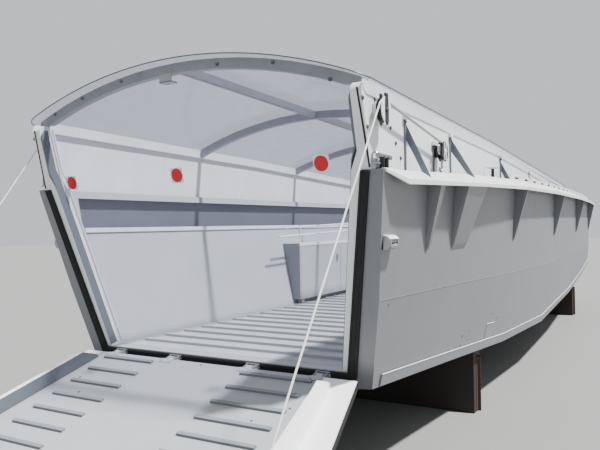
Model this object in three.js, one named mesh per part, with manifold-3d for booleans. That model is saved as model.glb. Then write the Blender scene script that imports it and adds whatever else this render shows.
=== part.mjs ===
// A landing craft on two stands: steel hull with a bow ramp, a well under a clear canopy, and a decked stern.
// Millimetres. X runs forward, Y to port and Z up.
// Inside the craft's group the origin is the middle of the bow sill.
import * as THREE from "three";
import { mergeVertices } from "three/addons/utils/BufferGeometryUtils.js";
import Module from "manifold-3d";

const wasm = await Module();
wasm.setup();

// Driving dimensions
const SILL_X = 4337; // sill ahead of the middle of the whole length, ramp down
const SILL_HEIGHT = 750; // sill above the ground under the stands
const STERN_X = -10600;
const BULKHEAD_X = -6950; // after end of the well
const DECK_Z = 1187; // side decks and after deck
const BOW_RAKE = Math.atan(0.2527); // forward lean of the bow face
const WELL_HALF_SILL = 1015; // half width of the well at the floor
const WELL_FLARE = 0.2064; // growth of that half width for each unit of height
const FLOOR_PLATE = 20;
const POST_TOP_Z = 1655;
const FIT_GAP = 0.4; // between a piece and the neighbour that shapes it

// Hull sections, one to a row: keel height, then half breadth and height of chine and knuckle,
// and the half breadths of the deck's edge and of the fender.
const STATIONS = [
  { x: 600, keelZ: -130, chineY: 1115, chineZ: -60, kneeY: 1245, kneeZ: 455, deckY: 1382, fenderY: 1400 },
  { x: 0, keelZ: -200, chineY: 1160, chineZ: -95, kneeY: 1280, kneeZ: 450, deckY: 1402, fenderY: 1478 },
  { x: -1200, keelZ: -300, chineY: 1240, chineZ: -155, kneeY: 1350, kneeZ: 440, deckY: 1443, fenderY: 1566 },
  { x: -2600, keelZ: -390, chineY: 1340, chineZ: -225, kneeY: 1425, kneeZ: 420, deckY: 1482, fenderY: 1604 },
  { x: -4300, keelZ: -430, chineY: 1400, chineZ: -270, kneeY: 1468, kneeZ: 400, deckY: 1502, fenderY: 1630 },
  { x: -6700, keelZ: -340, chineY: 1400, chineZ: -165, kneeY: 1455, kneeZ: 410, deckY: 1482, fenderY: 1612 },
  { x: -8700, keelZ: -215, chineY: 1350, chineZ: -60, kneeY: 1395, kneeZ: 430, deckY: 1412, fenderY: 1540 },
  { x: STERN_X, keelZ: -70, chineY: 1270, chineZ: 40, kneeY: 1305, kneeZ: 450, deckY: 1312, fenderY: 1440 },
];

const COLOUR = {
  hull: 0x96999c,
  inside: 0xd2d4d6,
  coaming: 0xcdcfd0,
  fender: 0xe4e5e5,
  ramp: 0xb9bdc2,
  rubber: 0x1b1b1c,
  clear: 0xd9dcec,
  frame: 0x8d9293,
  wire: 0xe6e6e4,
  fitting: 0xd6d6d4,
  bronze: 0x9c7a3f,
  stand: 0x2c2623,
  engine: 0x5d6b60,
  wheel: 0x2a2a2b,
};

const craft = new THREE.Group();
craft.position.set(SILL_X, 0, SILL_HEIGHT);

// Geometry with shared vertices and its faces pointing out.
function closed(geometry) {
  const bare = new THREE.BufferGeometry();
  bare.setAttribute("position", geometry.getAttribute("position").clone());
  if (geometry.index) bare.setIndex(geometry.index.clone());
  const merged = mergeVertices(bare, 1e-3);
  const p = merged.getAttribute("position");
  const order = merged.index.array;
  const [a, b, c] = [new THREE.Vector3(), new THREE.Vector3(), new THREE.Vector3()];
  let volume = 0;
  for (let i = 0; i < order.length; i += 3) {
    a.fromBufferAttribute(p, order[i]);
    b.fromBufferAttribute(p, order[i + 1]);
    c.fromBufferAttribute(p, order[i + 2]);
    volume += a.dot(b.cross(c));
  }
  if (volume < 0)
    for (let i = 0; i < order.length; i += 3) [order[i], order[i + 1]] = [order[i + 1], order[i]];
  return merged;
}

function solid(geometry) {
  const g = closed(geometry);
  return new wasm.Manifold(
    new wasm.Mesh({
      numProp: 3,
      vertProperties: g.getAttribute("position").array,
      triVerts: new Uint32Array(g.index.array),
    }),
  );
}

function geometryOf(body) {
  const made = body.getMesh();
  const g = new THREE.BufferGeometry();
  g.setAttribute("position", new THREE.BufferAttribute(new Float32Array(made.vertProperties), 3));
  g.setIndex(new THREE.BufferAttribute(new Uint32Array(made.triVerts), 1));
  return g;
}

// The first shape joined with the rest, or cut by them.
const joined = (...shapes) => geometryOf(shapes.map(solid).reduce((whole, next) => whole.add(next)));
const cut = (shape, ...cutters) =>
  geometryOf(cutters.map(solid).reduce((whole, next) => whole.subtract(next), solid(shape)));
const common = (shape, other) => geometryOf(solid(shape).intersect(solid(other)));
const mirrored = (geometry) => geometry.clone().scale(1, -1, 1);

function box(x0, x1, y0, y1, z0, z1) {
  const g = new THREE.BoxGeometry(Math.abs(x1 - x0), Math.abs(y1 - y0), Math.abs(z1 - z0));
  return g.translate((x0 + x1) / 2, (y0 + y1) / 2, (z0 + z1) / 2);
}

// Outlines given as pairs, pushed along the axis that the pairs leave out.
function extruded(outline, depth) {
  const shape = new THREE.Shape(outline.map(([u, v]) => new THREE.Vector2(u, v)));
  return new THREE.ExtrudeGeometry(shape, { depth, bevelEnabled: false });
}
const alongX = (outlineYZ, x0, x1) =>
  extruded(outlineYZ, x1 - x0)
    .applyMatrix4(new THREE.Matrix4().set(0, 0, 1, 0, 1, 0, 0, 0, 0, 1, 0, 0, 0, 0, 0, 1))
    .translate(x0, 0, 0);
const alongY = (outlineXZ, y0, y1) =>
  extruded(outlineXZ, y1 - y0)
    .rotateX(Math.PI / 2)
    .translate(0, y1, 0);
const alongZ = (outlineXY, z0, z1) => extruded(outlineXY, z1 - z0).translate(0, 0, z0);

// A rod or disc between two points.
function rod(from, to, radius, sides = 16) {
  const [a, b] = [new THREE.Vector3(...from), new THREE.Vector3(...to)];
  const way = b.clone().sub(a);
  const g = new THREE.CylinderGeometry(radius, radius, way.length(), sides);
  g.applyQuaternion(new THREE.Quaternion().setFromUnitVectors(new THREE.Vector3(0, 1, 0), way.normalize()));
  return g.translate(...a.add(b).multiplyScalar(0.5));
}

// A closed skin over loops of equal point counts that stand one behind the other along X.
function loft(loops) {
  const count = loops[0].length;
  const index = [];
  for (let s = 0; s < loops.length - 1; s += 1)
    for (let i = 0; i < count; i += 1) {
      const near = s * count + i;
      const next = s * count + ((i + 1) % count);
      index.push(near, next, next + count, near, next + count, near + count);
    }
  const last = (loops.length - 1) * count;
  for (const [base, forward] of [[0, false], [last, true]]) {
    const flat = loops[base / count].map(([, y, z]) => new THREE.Vector2(y, z));
    const turn = THREE.ShapeUtils.area(flat);
    for (const [a, b, c] of THREE.ShapeUtils.triangulateShape(flat, [])) {
      const same = THREE.ShapeUtils.area([flat[a], flat[b], flat[c]]) * turn > 0;
      index.push(base + a, ...(same === forward ? [base + b, base + c] : [base + c, base + b]));
    }
  }
  const g = new THREE.BufferGeometry();
  g.setAttribute("position", new THREE.Float32BufferAttribute(loops.flat(2), 3));
  g.setIndex(index);
  return closed(g);
}

function add(name, geometry, colour, { roughness = 0.55, metalness = 0.1, opacity = 1 } = {}, parent = craft) {
  const material = new THREE.MeshStandardMaterial({ color: colour, roughness, metalness });
  material.opacity = opacity;
  material.transparent = opacity < 1;
  const mesh = new THREE.Mesh(closed(geometry), material);
  mesh.name = name;
  parent.add(mesh);
  return mesh;
}

// A piece to port and its mirror image to starboard.
function addPair(name, geometry, colour, finish, parent) {
  add(`${name}_port`, geometry, colour, finish, parent);
  add(`${name}_starboard`, mirrored(geometry), colour, finish, parent);
}

const between = (low, high, share) => low + (high - low) * share;

// Any column of the station table at any X.
function atStation(column, x) {
  const aft = STATIONS.findIndex((row) => row.x <= x);
  const [fore, back] = [STATIONS[Math.max(aft - 1, 0)], STATIONS[aft]];
  const share = fore.x === back.x ? 0 : (fore.x - x) / (fore.x - back.x);
  return between(fore[column], back[column], share);
}

// Half breadth of the hull's side at any X and height.
function sideY(x, z) {
  const kneeZ = atStation("kneeZ", x);
  const kneeY = atStation("kneeY", x);
  if (z >= kneeZ) return between(kneeY, atStation("deckY", x), (z - kneeZ) / (DECK_Z - kneeZ));
  const chineZ = atStation("chineZ", x);
  return between(atStation("chineY", x), kneeY, (z - chineZ) / (kneeZ - chineZ));
}
// Any column of a table of lines along the craft.
const along = (table, column, x) => {
  const aft = Math.max(table.findIndex((row) => row.x <= x), 1);
  const [fore, back] = [table[aft - 1], table[aft]];
  return between(fore[column], back[column], (fore.x - x) / (fore.x - back.x));
};
const stationsBetween = (fore, aft) => [
  fore,
  ...STATIONS.map((row) => row.x).filter((x) => x < fore && x > aft),
  aft,
];
const wellY = (z) => WELL_HALF_SILL + WELL_FLARE * z;
const bowX = (z) => Math.tan(BOW_RAKE) * z;

// Hull, cut at the raked bow face
const FAR = 3000;
const aheadOfBow = alongY([[bowX(-FAR), -FAR], [FAR, -FAR], [FAR, FAR], [bowX(FAR), FAR]], -FAR, FAR);
const halfHull = loft(
  STATIONS.map(({ x, keelZ, chineY, chineZ, kneeY, kneeZ, deckY }) => [
    [x, 0, keelZ],
    [x, chineY, chineZ],
    [x, kneeY, kneeZ],
    [x, deckY, DECK_Z],
    [x, 0, DECK_Z],
  ]),
);
const wholeHull = cut(joined(halfHull, mirrored(halfHull)), aheadOfBow);
// The hull moved a fit gap down or to port, to shape what bears on it.
const hullBelow = wholeHull.clone().translate(0, 0, -FIT_GAP);
const hullBeside = wholeHull.clone().translate(0, FIT_GAP, 0);
const INTO_HULL = 30; // how far a piece starts inside the side before it is cut to it
const wellSpace = alongX(
  [
    [-wellY(-FLOOR_PLATE), -FLOOR_PLATE],
    [wellY(-FLOOR_PLATE), -FLOOR_PLATE],
    [wellY(FAR), FAR],
    [-wellY(FAR), FAR],
  ],
  BULKHEAD_X,
  FAR,
);

// Ramp hinge: the pin's place, worked out from the closed ramp lying on its seal
const SEAL_THICKNESS = 18;
const SEAL_WIDTH = 55;
const DECK_OVER_PIN = 30;
const PIN_BELOW_SILL = 30;
const PIN_OFF_BOW = DECK_OVER_PIN + SEAL_THICKNESS + 7;
const PIN_X = PIN_OFF_BOW * Math.cos(BOW_RAKE) - PIN_BELOW_SILL * Math.sin(BOW_RAKE);
const PIN_Z = -PIN_OFF_BOW * Math.sin(BOW_RAKE) - PIN_BELOW_SILL * Math.cos(BOW_RAKE);
const PIN_RADIUS = 12;
const PIN_HOLE = 12.7;
const HINGE_Y = [330, 850]; // middle of each hinge, to both sides
const HINGE_LUG_HALF = 24;
const HINGE_PLATE = 14;
const HINGE_SIDE_GAP = 6;

// One hull plate of a hinge: it stands off the bow face below the seal and reaches up round the pin.
function hingePlate(y) {
  const outline = [[-20, -115], [40, -115], [82, -70], [82, -8], [27, -8], [27, -60], [-20, -60]];
  const plate = alongY(outline, y - HINGE_PLATE / 2, y + HINGE_PLATE / 2).rotateY(BOW_RAKE);
  const hole = rod([PIN_X, y - HINGE_PLATE, PIN_Z], [PIN_X, y + HINGE_PLATE, PIN_Z], PIN_HOLE, 24);
  return cut(plate, hole);
}
const plateOffset = HINGE_LUG_HALF + HINGE_SIDE_GAP + HINGE_PLATE / 2;
const hingePlates = HINGE_Y.flatMap((y) => [y, -y]).flatMap((y) => [y - plateOffset, y + plateOffset]);

const bottomBlock = common(wholeHull, box(BULKHEAD_X, FAR, -FAR, FAR, -FAR, -FLOOR_PLATE));
add("hull_bottom", joined(bottomBlock, ...hingePlates.map(hingePlate)), COLOUR.hull);

// Side walls, each with a long recess under the side deck on the well's side
const RECESS = { fore: 60, aft: -6750, low: 900, high: 1130, depth: 90 };
const sideBlock = common(wholeHull, box(BULKHEAD_X, FAR, 0, FAR, -FLOOR_PLATE, DECK_Z));
const recess = alongX(
  [
    [wellY(RECESS.low) - 100, RECESS.low],
    [wellY(RECESS.low) + RECESS.depth, RECESS.low],
    [wellY(RECESS.high) + RECESS.depth / 2, RECESS.high],
    [wellY(RECESS.high) - 100, RECESS.high],
  ],
  RECESS.aft,
  RECESS.fore,
);
addPair("side_wall", cut(sideBlock, wellSpace, recess), COLOUR.hull);

// Well floor with its cross bars
const BAR = { first: -280, last: -6700, pitch: 235, length: 34, height: 20, halfWidth: 905 };
const bars = [];
for (let x = BAR.first; x > BAR.last; x -= BAR.pitch)
  bars.push(box(x - BAR.length, x, -BAR.halfWidth, BAR.halfWidth, -1, BAR.height));
const floorHalf = wellY(-FLOOR_PLATE) - FIT_GAP;
add(
  "well_floor",
  joined(box(BULKHEAD_X, bowX(-FLOOR_PLATE), -floorHalf, floorHalf, -FLOOR_PLATE, 0), ...bars),
  COLOUR.inside,
);
const BULKHEAD_PLATE = 40;
add(
  "well_bulkhead",
  alongX(
    [
      [-wellY(0) + FIT_GAP, 0],
      [wellY(0) - FIT_GAP, 0],
      [wellY(DECK_Z) - FIT_GAP, DECK_Z],
      [-wellY(DECK_Z) + FIT_GAP, DECK_Z],
    ],
    BULKHEAD_X,
    BULKHEAD_X + BULKHEAD_PLATE,
  ),
  COLOUR.inside,
);

// Side lockers on feet
const LOCKER = { fore: -2800, aft: -6880, innerY: 930, low: 50, high: 690, footLength: 60, footWidth: 60 };
const lockerBody = alongX(
  [
    [LOCKER.innerY, LOCKER.low],
    [wellY(LOCKER.low) - 1, LOCKER.low],
    [wellY(LOCKER.high) - 1, LOCKER.high],
    [LOCKER.innerY, LOCKER.high],
  ],
  LOCKER.aft,
  LOCKER.fore,
);
const lockerFeet = [0.02, 0.34, 0.66, 0.98].map((share) => {
  const x = between(LOCKER.fore, LOCKER.aft, share);
  const y = LOCKER.innerY + 12;
  return box(x - LOCKER.footLength / 2, x + LOCKER.footLength / 2, y, y + LOCKER.footWidth, 0, LOCKER.low + 1);
});
addPair("side_locker", joined(lockerBody, ...lockerFeet), COLOUR.inside);

// Stern: decked hull with the engine space under the hatch and the rudder's port in the bottom
const PIT = { fore: -7250, aft: -9250, halfWidth: 530, floor: -20 };
const RUDDER = { stockX: -10160, stockRadius: 28, top: -40, portRadius: 28.7, pintle: 16, pintleHole: 16.8 };
const hatchHingeY = -600;
const HATCH = { overlap: 50, thickness: 40, barrelRadius: 14, barrelZ: DECK_Z + 46, barrelLength: 160 };
const hatchBarrels = [PIT.fore - 350, PIT.aft + 350];
const hatchPads = hatchBarrels.map((x) =>
  box(
    x - HATCH.barrelLength / 2,
    x + HATCH.barrelLength / 2,
    hatchHingeY - HATCH.barrelRadius,
    hatchHingeY + HATCH.barrelRadius - 8,
    DECK_Z - 1,
    HATCH.barrelZ - HATCH.barrelRadius - 1,
  ),
);
add(
  "aft_hull",
  cut(
    joined(common(wholeHull, box(STERN_X - 1, BULKHEAD_X, -FAR, FAR, -FAR, DECK_Z)), ...hatchPads),
    box(PIT.aft, PIT.fore, -PIT.halfWidth, PIT.halfWidth, PIT.floor, FAR),
    rod([RUDDER.stockX, 0, -FAR], [RUDDER.stockX, 0, RUDDER.top + 6], RUDDER.portRadius, 24),
  ),
  COLOUR.hull,
);
const ENGINE = {
  fore: -7450,
  aft: -8800,
  halfWidth: 380,
  height: 850,
  bed: 120,
  bedInset: 150,
  bedHalfWidth: 440,
};
add(
  "engine_block",
  joined(
    box(
      ENGINE.aft,
      ENGINE.fore,
      -ENGINE.halfWidth,
      ENGINE.halfWidth,
      PIT.floor + ENGINE.bed,
      PIT.floor + ENGINE.height,
    ),
    box(
      ENGINE.aft + ENGINE.bedInset,
      ENGINE.fore - ENGINE.bedInset,
      -ENGINE.bedHalfWidth,
      ENGINE.bedHalfWidth,
      PIT.floor,
      PIT.floor + ENGINE.bed + 1,
    ),
  ),
  COLOUR.engine,
  { roughness: 0.5, metalness: 0.3 },
);
add(
  "engine_hatch",
  joined(
    box(
      PIT.aft - HATCH.overlap,
      PIT.fore + HATCH.overlap,
      -PIT.halfWidth - HATCH.overlap,
      PIT.halfWidth + HATCH.overlap,
      DECK_Z + FIT_GAP,
      DECK_Z + HATCH.thickness,
    ),
    ...hatchBarrels.flatMap((x) => [
      rod(
        [x - HATCH.barrelLength / 2, hatchHingeY, HATCH.barrelZ],
        [x + HATCH.barrelLength / 2, hatchHingeY, HATCH.barrelZ],
        HATCH.barrelRadius,
      ),
      box(
        x - HATCH.barrelLength / 2,
        x + HATCH.barrelLength / 2,
        hatchHingeY,
        -PIT.halfWidth,
        DECK_Z + HATCH.thickness - 6,
        DECK_Z + HATCH.thickness + 12,
      ),
    ]),
  ),
  COLOUR.coaming,
);

// Fender: a raised gunwale, its plate sloping out and down to a thin lip, with a slotted toe plate and gussets.
// Heights of the gunwale's inner edge, of the corner over the lip, and of the lip's lower edge
const GUNWALE_LINE = [
  { x: 600, edge: 1190, corner: 1117, lip: 1090 },
  { x: 0, edge: 1196, corner: 1142, lip: 1113 },
  { x: -1200, edge: 1247, corner: 1173, lip: 1150 },
  { x: -2600, edge: 1282, corner: 1210, lip: 1184 },
  { x: -4300, edge: 1295, corner: 1232, lip: 1200 },
  { x: -6700, edge: 1306, corner: 1240, lip: 1206 },
  { x: -8700, edge: 1311, corner: 1238, lip: 1208 },
  { x: STERN_X, edge: 1314, corner: 1232, lip: 1208 },
];
const LIP = { thickness: 12, plate: 14, wall: 16 };
const FENDER_TIP_X = 285;
const FENDER_SHOULDER_X = 90;
// What is left of the gunwale at its fore tip: width, and how far corner and lip lie below the edge
const FENDER_TIP = { width: 14, corner: 8, lip: 20 };
const gunwaleAlong = (x) => ({
  inner: atStation("deckY", x),
  edge: along(GUNWALE_LINE, "edge", x),
  corner: along(GUNWALE_LINE, "corner", x),
  lip: along(GUNWALE_LINE, "lip", x),
  outer: atStation("fenderY", x),
});
// Ahead of its shoulder the gunwale tapers away to the tip.
function gunwaleAt(x) {
  const here = gunwaleAlong(x);
  if (x <= FENDER_SHOULDER_X) return here;
  const shoulder = gunwaleAlong(FENDER_SHOULDER_X);
  const tip = gunwaleAlong(FENDER_TIP_X);
  const share = (FENDER_TIP_X - x) / (FENDER_TIP_X - FENDER_SHOULDER_X);
  return {
    ...here,
    corner: between(tip.edge - FENDER_TIP.corner, shoulder.corner, share),
    lip: between(tip.edge - FENDER_TIP.lip, shoulder.lip, share),
    outer: between(tip.inner + FENDER_TIP.width, shoulder.outer, share),
  };
}
const fenderStations = [FENDER_TIP_X, ...stationsBetween(FENDER_SHOULDER_X, STERN_X)];
const gunwaleLoop = (x) => {
  const { inner, edge, corner, lip, outer } = gunwaleAt(x);
  return [
    [x, inner - LIP.wall, DECK_Z],
    [x, inner - LIP.wall, edge],
    [x, inner, edge],
    [x, outer, corner],
    [x, outer, lip],
    [x, outer - LIP.thickness, lip],
    [x, outer - LIP.thickness, corner - LIP.plate / 2],
    [x, inner, Math.max(edge - LIP.plate, DECK_Z + 1)],
    [x, inner, DECK_Z],
  ];
};
// Toe plate on the gunwale's edge, with a row of slots
const TOE = { fore: -2520, aft: -10450, thickness: 10, height: 46, step: 90 };
const TOE_SLOT = { first: -2650, pitch: 435, length: 165, low: 10, high: 29 };
const toeLoop = (x, height) => {
  const { inner, edge } = gunwaleAt(x);
  return [
    [x, inner - 2 - TOE.thickness, edge - 2],
    [x, inner - 2, edge - 2],
    [x, inner - 2, edge + height],
    [x, inner - 2 - TOE.thickness, edge + height],
  ];
};
const toePlate = loft([
  toeLoop(TOE.fore, 4),
  ...stationsBetween(TOE.fore - TOE.step, TOE.aft).map((x) => toeLoop(x, TOE.height)),
]);
const toeSlots = [];
for (let x = TOE_SLOT.first; x - TOE_SLOT.length > TOE.aft + TOE.step; x -= TOE_SLOT.pitch) {
  const { inner, edge } = gunwaleAt(x - TOE_SLOT.length / 2);
  toeSlots.push(
    box(
      x - TOE_SLOT.length,
      x,
      inner - LIP.wall * 2,
      inner + LIP.wall,
      edge + TOE_SLOT.low,
      edge + TOE_SLOT.high,
    ),
  );
}
// Gussets: forward face at the top, how far the foot lies aft of it, and width at the top and at the tip
const GUSSETS = [
  { x: -370, lean: 110, top: 75, tip: 30 },
  { x: -870, lean: 92, top: 410, tip: 290 },
  { x: -2640, lean: 0, top: 24, tip: 24 },
  { x: -4890, lean: 0, top: 24, tip: 24 },
  { x: -7320, lean: 0, top: 24, tip: 24 },
  { x: -10300, lean: 0, top: 24, tip: 24 },
];
const GUSSET = { tipZ: 745, tipProud: 20, footZ: 705 };
// One face across the hull: its foot runs in to the side below the tip.
function gussetFace(topX, tipX) {
  const { inner, edge, corner, lip, outer } = gunwaleAt(topX);
  return [
    [topX, inner - LIP.wall / 2, edge - LIP.plate / 2],
    [topX, outer - LIP.thickness / 2, corner - LIP.plate / 2],
    [topX, outer - LIP.thickness / 2, lip + 6],
    [tipX, sideY(tipX, GUSSET.tipZ) + GUSSET.tipProud, GUSSET.tipZ],
    [tipX, sideY(tipX, GUSSET.footZ), GUSSET.footZ],
    [tipX, sideY(tipX, GUSSET.footZ) - INTO_HULL, GUSSET.footZ],
  ];
}
const gusset = ({ x, lean, top, tip }) =>
  loft([gussetFace(x, x - lean), gussetFace(x - top, x - lean - tip)]);
const fender = cut(
  joined(
    loft(fenderStations.map(gunwaleLoop)),
    toePlate,
    ...GUSSETS.map((row) => cut(gusset(row), hullBeside)),
  ),
  ...toeSlots,
);
addPair("fender", fender, COLOUR.fender);

// Doubler along the chine
const CHINE_BAND = { fore: -100, low: 6, high: 82, proud: 14 };
const bandLoop = (x) => {
  const low = atStation("chineZ", x) + CHINE_BAND.low;
  const high = atStation("chineZ", x) + CHINE_BAND.high;
  return [
    [x, sideY(x, low) - INTO_HULL, low],
    [x, sideY(x, low) + CHINE_BAND.proud, low],
    [x, sideY(x, high) + CHINE_BAND.proud, high],
    [x, sideY(x, high) - INTO_HULL, high],
  ];
};
addPair(
  "chine_band",
  cut(loft(stationsBetween(CHINE_BAND.fore, STERN_X).map(bandLoop)), hullBeside),
  COLOUR.hull,
);

// Rubber seal round the lower part of the bow opening
const KINK = 1224; // along the bow face, where the flare ends
const sealHalf = (along) => WELL_HALF_SILL + 0.2 * along;
const sealOutline = [
  [-sealHalf(KINK) - SEAL_WIDTH, KINK],
  [-WELL_HALF_SILL - SEAL_WIDTH, -SEAL_WIDTH],
  [WELL_HALF_SILL + SEAL_WIDTH, -SEAL_WIDTH],
  [sealHalf(KINK) + SEAL_WIDTH, KINK],
  [sealHalf(KINK), KINK],
  [WELL_HALF_SILL, -4],
  [-WELL_HALF_SILL, -4],
  [-sealHalf(KINK), KINK],
];
add("ramp_seal", alongX(sealOutline, FIT_GAP, SEAL_THICKNESS).rotateY(BOW_RAKE), COLOUR.rubber, {
  roughness: 0.8,
  metalness: 0,
});

// Bow posts: upright above the deck with a rounded head, and a flared bar inside the opening below it
const POST = { innerY: 1250, outerY: 1318, length: 140, headRadius: 60 };
const BOW_BAR = { depth: 114.6, footWidth: 36, growth: 0.019, shoulderZ: 1290 };
const barInner = (z) => wellY(z) - BOW_BAR.footWidth - BOW_BAR.growth * z;
const barOuter = (z) => wellY(z) - FIT_GAP * 1.2;
const bowBar = common(
  alongX(
    [
      [barInner(FIT_GAP), FIT_GAP],
      [barOuter(FIT_GAP), FIT_GAP],
      [barOuter(BOW_BAR.shoulderZ), BOW_BAR.shoulderZ],
      [POST.innerY, BOW_BAR.shoulderZ],
      [barInner(DECK_Z), DECK_Z],
    ],
    -BOW_BAR.depth,
    bowX(FAR),
  ),
  alongY(
    [
      [bowX(0) - BOW_BAR.depth, 0],
      [bowX(0), 0],
      [bowX(BOW_BAR.shoulderZ), BOW_BAR.shoulderZ],
      [bowX(BOW_BAR.shoulderZ) - BOW_BAR.depth, BOW_BAR.shoulderZ],
    ],
    0,
    FAR,
  ),
);
function bowPost() {
  const foot = DECK_Z;
  const headZ = POST_TOP_Z - POST.headRadius;
  const outline = [[bowX(foot) - POST.length, foot], [bowX(foot), foot], [bowX(headZ), headZ]];
  const steps = 6;
  for (let i = 1; i <= steps; i += 1) {
    const turn = (i / steps) * (Math.PI / 2);
    outline.push([
      bowX(headZ) - POST.headRadius * (1 - Math.cos(turn)),
      headZ + POST.headRadius * Math.sin(turn),
    ]);
  }
  outline.push([bowX(POST_TOP_Z) - POST.length, POST_TOP_Z]);
  return alongY(outline, POST.innerY, POST.outerY);
}
addPair("bow_post", joined(bowPost(), bowBar), COLOUR.coaming);

// Coamings: plan and top line by station, with a rolled top edge, upright stays and raking braces outside
const COAMING = { thickness: 18, railWidth: 44, railHeight: 26 };
const COAMING_LINE = [
  { x: 400, y: 1300, top: 1640 },
  { x: -2450, y: 1300, top: 1578 },
  { x: BULKHEAD_X, y: 1290, top: 1408 },
  { x: -10400, y: 1170, top: 1300 },
];
const coamingY = (x) => along(COAMING_LINE, "y", x);
const coamingTop = (x) => along(COAMING_LINE, "top", x);
const plateLoop = ({ x, y, top }) => [
  [x, y, DECK_Z],
  [x, y + COAMING.thickness, DECK_Z],
  [x, y + COAMING.thickness, top],
  [x, y, top],
];
const railLoop = ({ x, y, top }) => [
  [x, y - (COAMING.railWidth - COAMING.thickness), top - COAMING.railHeight],
  [x, y + COAMING.thickness, top - COAMING.railHeight],
  [x, y + COAMING.thickness, top],
  [x, y - (COAMING.railWidth - COAMING.thickness), top],
];
const behindPost = alongY(
  [
    [bowX(0) - POST.length - FIT_GAP, 0],
    [FAR, 0],
    [FAR, FAR],
    [bowX(FAR) - POST.length - FIT_GAP, FAR],
  ],
  0,
  FAR,
);
// Upright stays: place along the craft and head
const STAY = { width: 16, depth: 12 };
const STAYS = [
  { x: -215, head: 1540 },
  { x: -755, head: 1437 },
  { x: -1145, head: 1538 },
  { x: -2768, head: 1520 },
  { x: -4235, head: 1470 },
  { x: -5700, head: 1420 },
  { x: -8000, head: 1345 },
];
const stays = STAYS.map(({ x, head }) => {
  const outside = coamingY(x) + COAMING.thickness;
  return box(x - STAY.width / 2, x + STAY.width / 2, outside - 4, outside + STAY.depth, DECK_Z, head);
});
// Raking braces: head on the coaming, and how far the foot's inner corner lies outside the gunwale's edge
const BRACE = { width: 10, head: 86, foot: 46 };
const BRACES = [
  { x: -250, head: 1505, out: 10 },
  { x: -1180, head: 1520, out: 0 },
  { x: -2800, head: 1486, out: -68 },
  { x: -4265, head: 1436, out: -68 },
];
const braces = BRACES.map(({ x, head, out }) => {
  const { inner, edge, corner, outer } = gunwaleAt(x);
  const outside = coamingY(x) + COAMING.thickness;
  const footZ = (y) =>
    y >= inner ? between(edge, corner, (y - inner) / (outer - inner)) - LIP.plate / 2 : DECK_Z;
  const loop = (at) => [
    [at, outside - 4, head],
    [at, outside - 4, head - BRACE.head],
    [at, inner + out, footZ(inner + out)],
    [at, inner + out + BRACE.foot, footZ(inner + out + BRACE.foot)],
  ];
  return loft([loop(x), loop(x - BRACE.width)]);
});
const coaming = cut(
  joined(loft(COAMING_LINE.map(plateLoop)), loft(COAMING_LINE.map(railLoop)), ...stays, ...braces),
  behindPost,
  fender.clone().translate(0, -FIT_GAP, FIT_GAP),
);
addPair("coaming", coaming, COLOUR.coaming);
const coamingEnd = COAMING_LINE[COAMING_LINE.length - 1];
add(
  "coaming_aft",
  box(
    coamingEnd.x,
    coamingEnd.x + COAMING.thickness,
    -coamingEnd.y + COAMING.railWidth,
    coamingEnd.y - COAMING.railWidth,
    DECK_Z,
    coamingEnd.top,
  ),
  COLOUR.coaming,
);

// Clear canopy: a shallow vault on arches, with a centre purlin and side rails on the coamings
const CANOPY = { radius: 3420, halfSpan: 1360, crown: 1950, sheet: 8, steps: 16, fore: 440, aft: BULKHEAD_X };
const canopyDrop = (x) => Math.max(0, COAMING_LINE[0].top - coamingTop(x));
const canopyStations = (fore, aft) => [fore, COAMING_LINE[1].x, aft];
const arcZ = (y, radius) => CANOPY.crown - CANOPY.radius + Math.sqrt(radius * radius - y * y);
function vaultLoop(x, halfSpan, outerRadius, innerRadius) {
  const drop = canopyDrop(x);
  const side = (radius, sign) =>
    Array.from({ length: CANOPY.steps + 1 }, (_, i) => {
      const y = sign * between(-halfSpan, halfSpan, i / CANOPY.steps);
      return [x, y, arcZ(y, radius) - drop];
    });
  return [...side(outerRadius, 1), ...side(innerRadius, -1)];
}
const sheetUnder = CANOPY.radius - CANOPY.sheet;
const canopySheet = loft(
  canopyStations(CANOPY.fore, CANOPY.aft).map((x) => vaultLoop(x, CANOPY.halfSpan, CANOPY.radius, sheetUnder)),
);
const sheetBelow = canopySheet.clone().translate(0, 0, -FIT_GAP);
add(
  "canopy_sheet",
  canopySheet,
  COLOUR.clear,
  { roughness: 0.05, metalness: 0, opacity: 0.3 },
);
const ARCH = { depth: 70, width: 50, halfSpan: 1296, stations: [-1500, -3350, -5200, -6900] };
const archOuter = sheetUnder + CANOPY.sheet / 2; // into the sheet, which then trims it
const arch = (x) =>
  loft(
    [x + ARCH.width / 2, x - ARCH.width / 2].map((at) =>
      vaultLoop(at, ARCH.halfSpan, archOuter, archOuter - ARCH.depth),
    ),
  );
const FRONT_ARCH_X = 330;
const underPostTops = box(-FAR, FAR, -FAR, FAR, 0, POST_TOP_Z + FIT_GAP);
const satinMetal = { roughness: 0.4, metalness: 0.6 };
add("canopy_front_arch", cut(arch(FRONT_ARCH_X), underPostTops, sheetBelow), COLOUR.frame, satinMetal);
const PURLIN = { half: 22, depth: 60 };
const frameFore = FRONT_ARCH_X - ARCH.width / 2 - FIT_GAP;
const frameAft = ARCH.stations[ARCH.stations.length - 1];
const purlinLoop = (x) => {
  const top = arcZ(PURLIN.half, archOuter) - canopyDrop(x);
  return [
    [x, -PURLIN.half, top - PURLIN.depth],
    [x, PURLIN.half, top - PURLIN.depth],
    [x, PURLIN.half, top],
    [x, -PURLIN.half, top],
  ];
};
const RAIL_Y = { inner: 1276, outer: 1316 };
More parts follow.
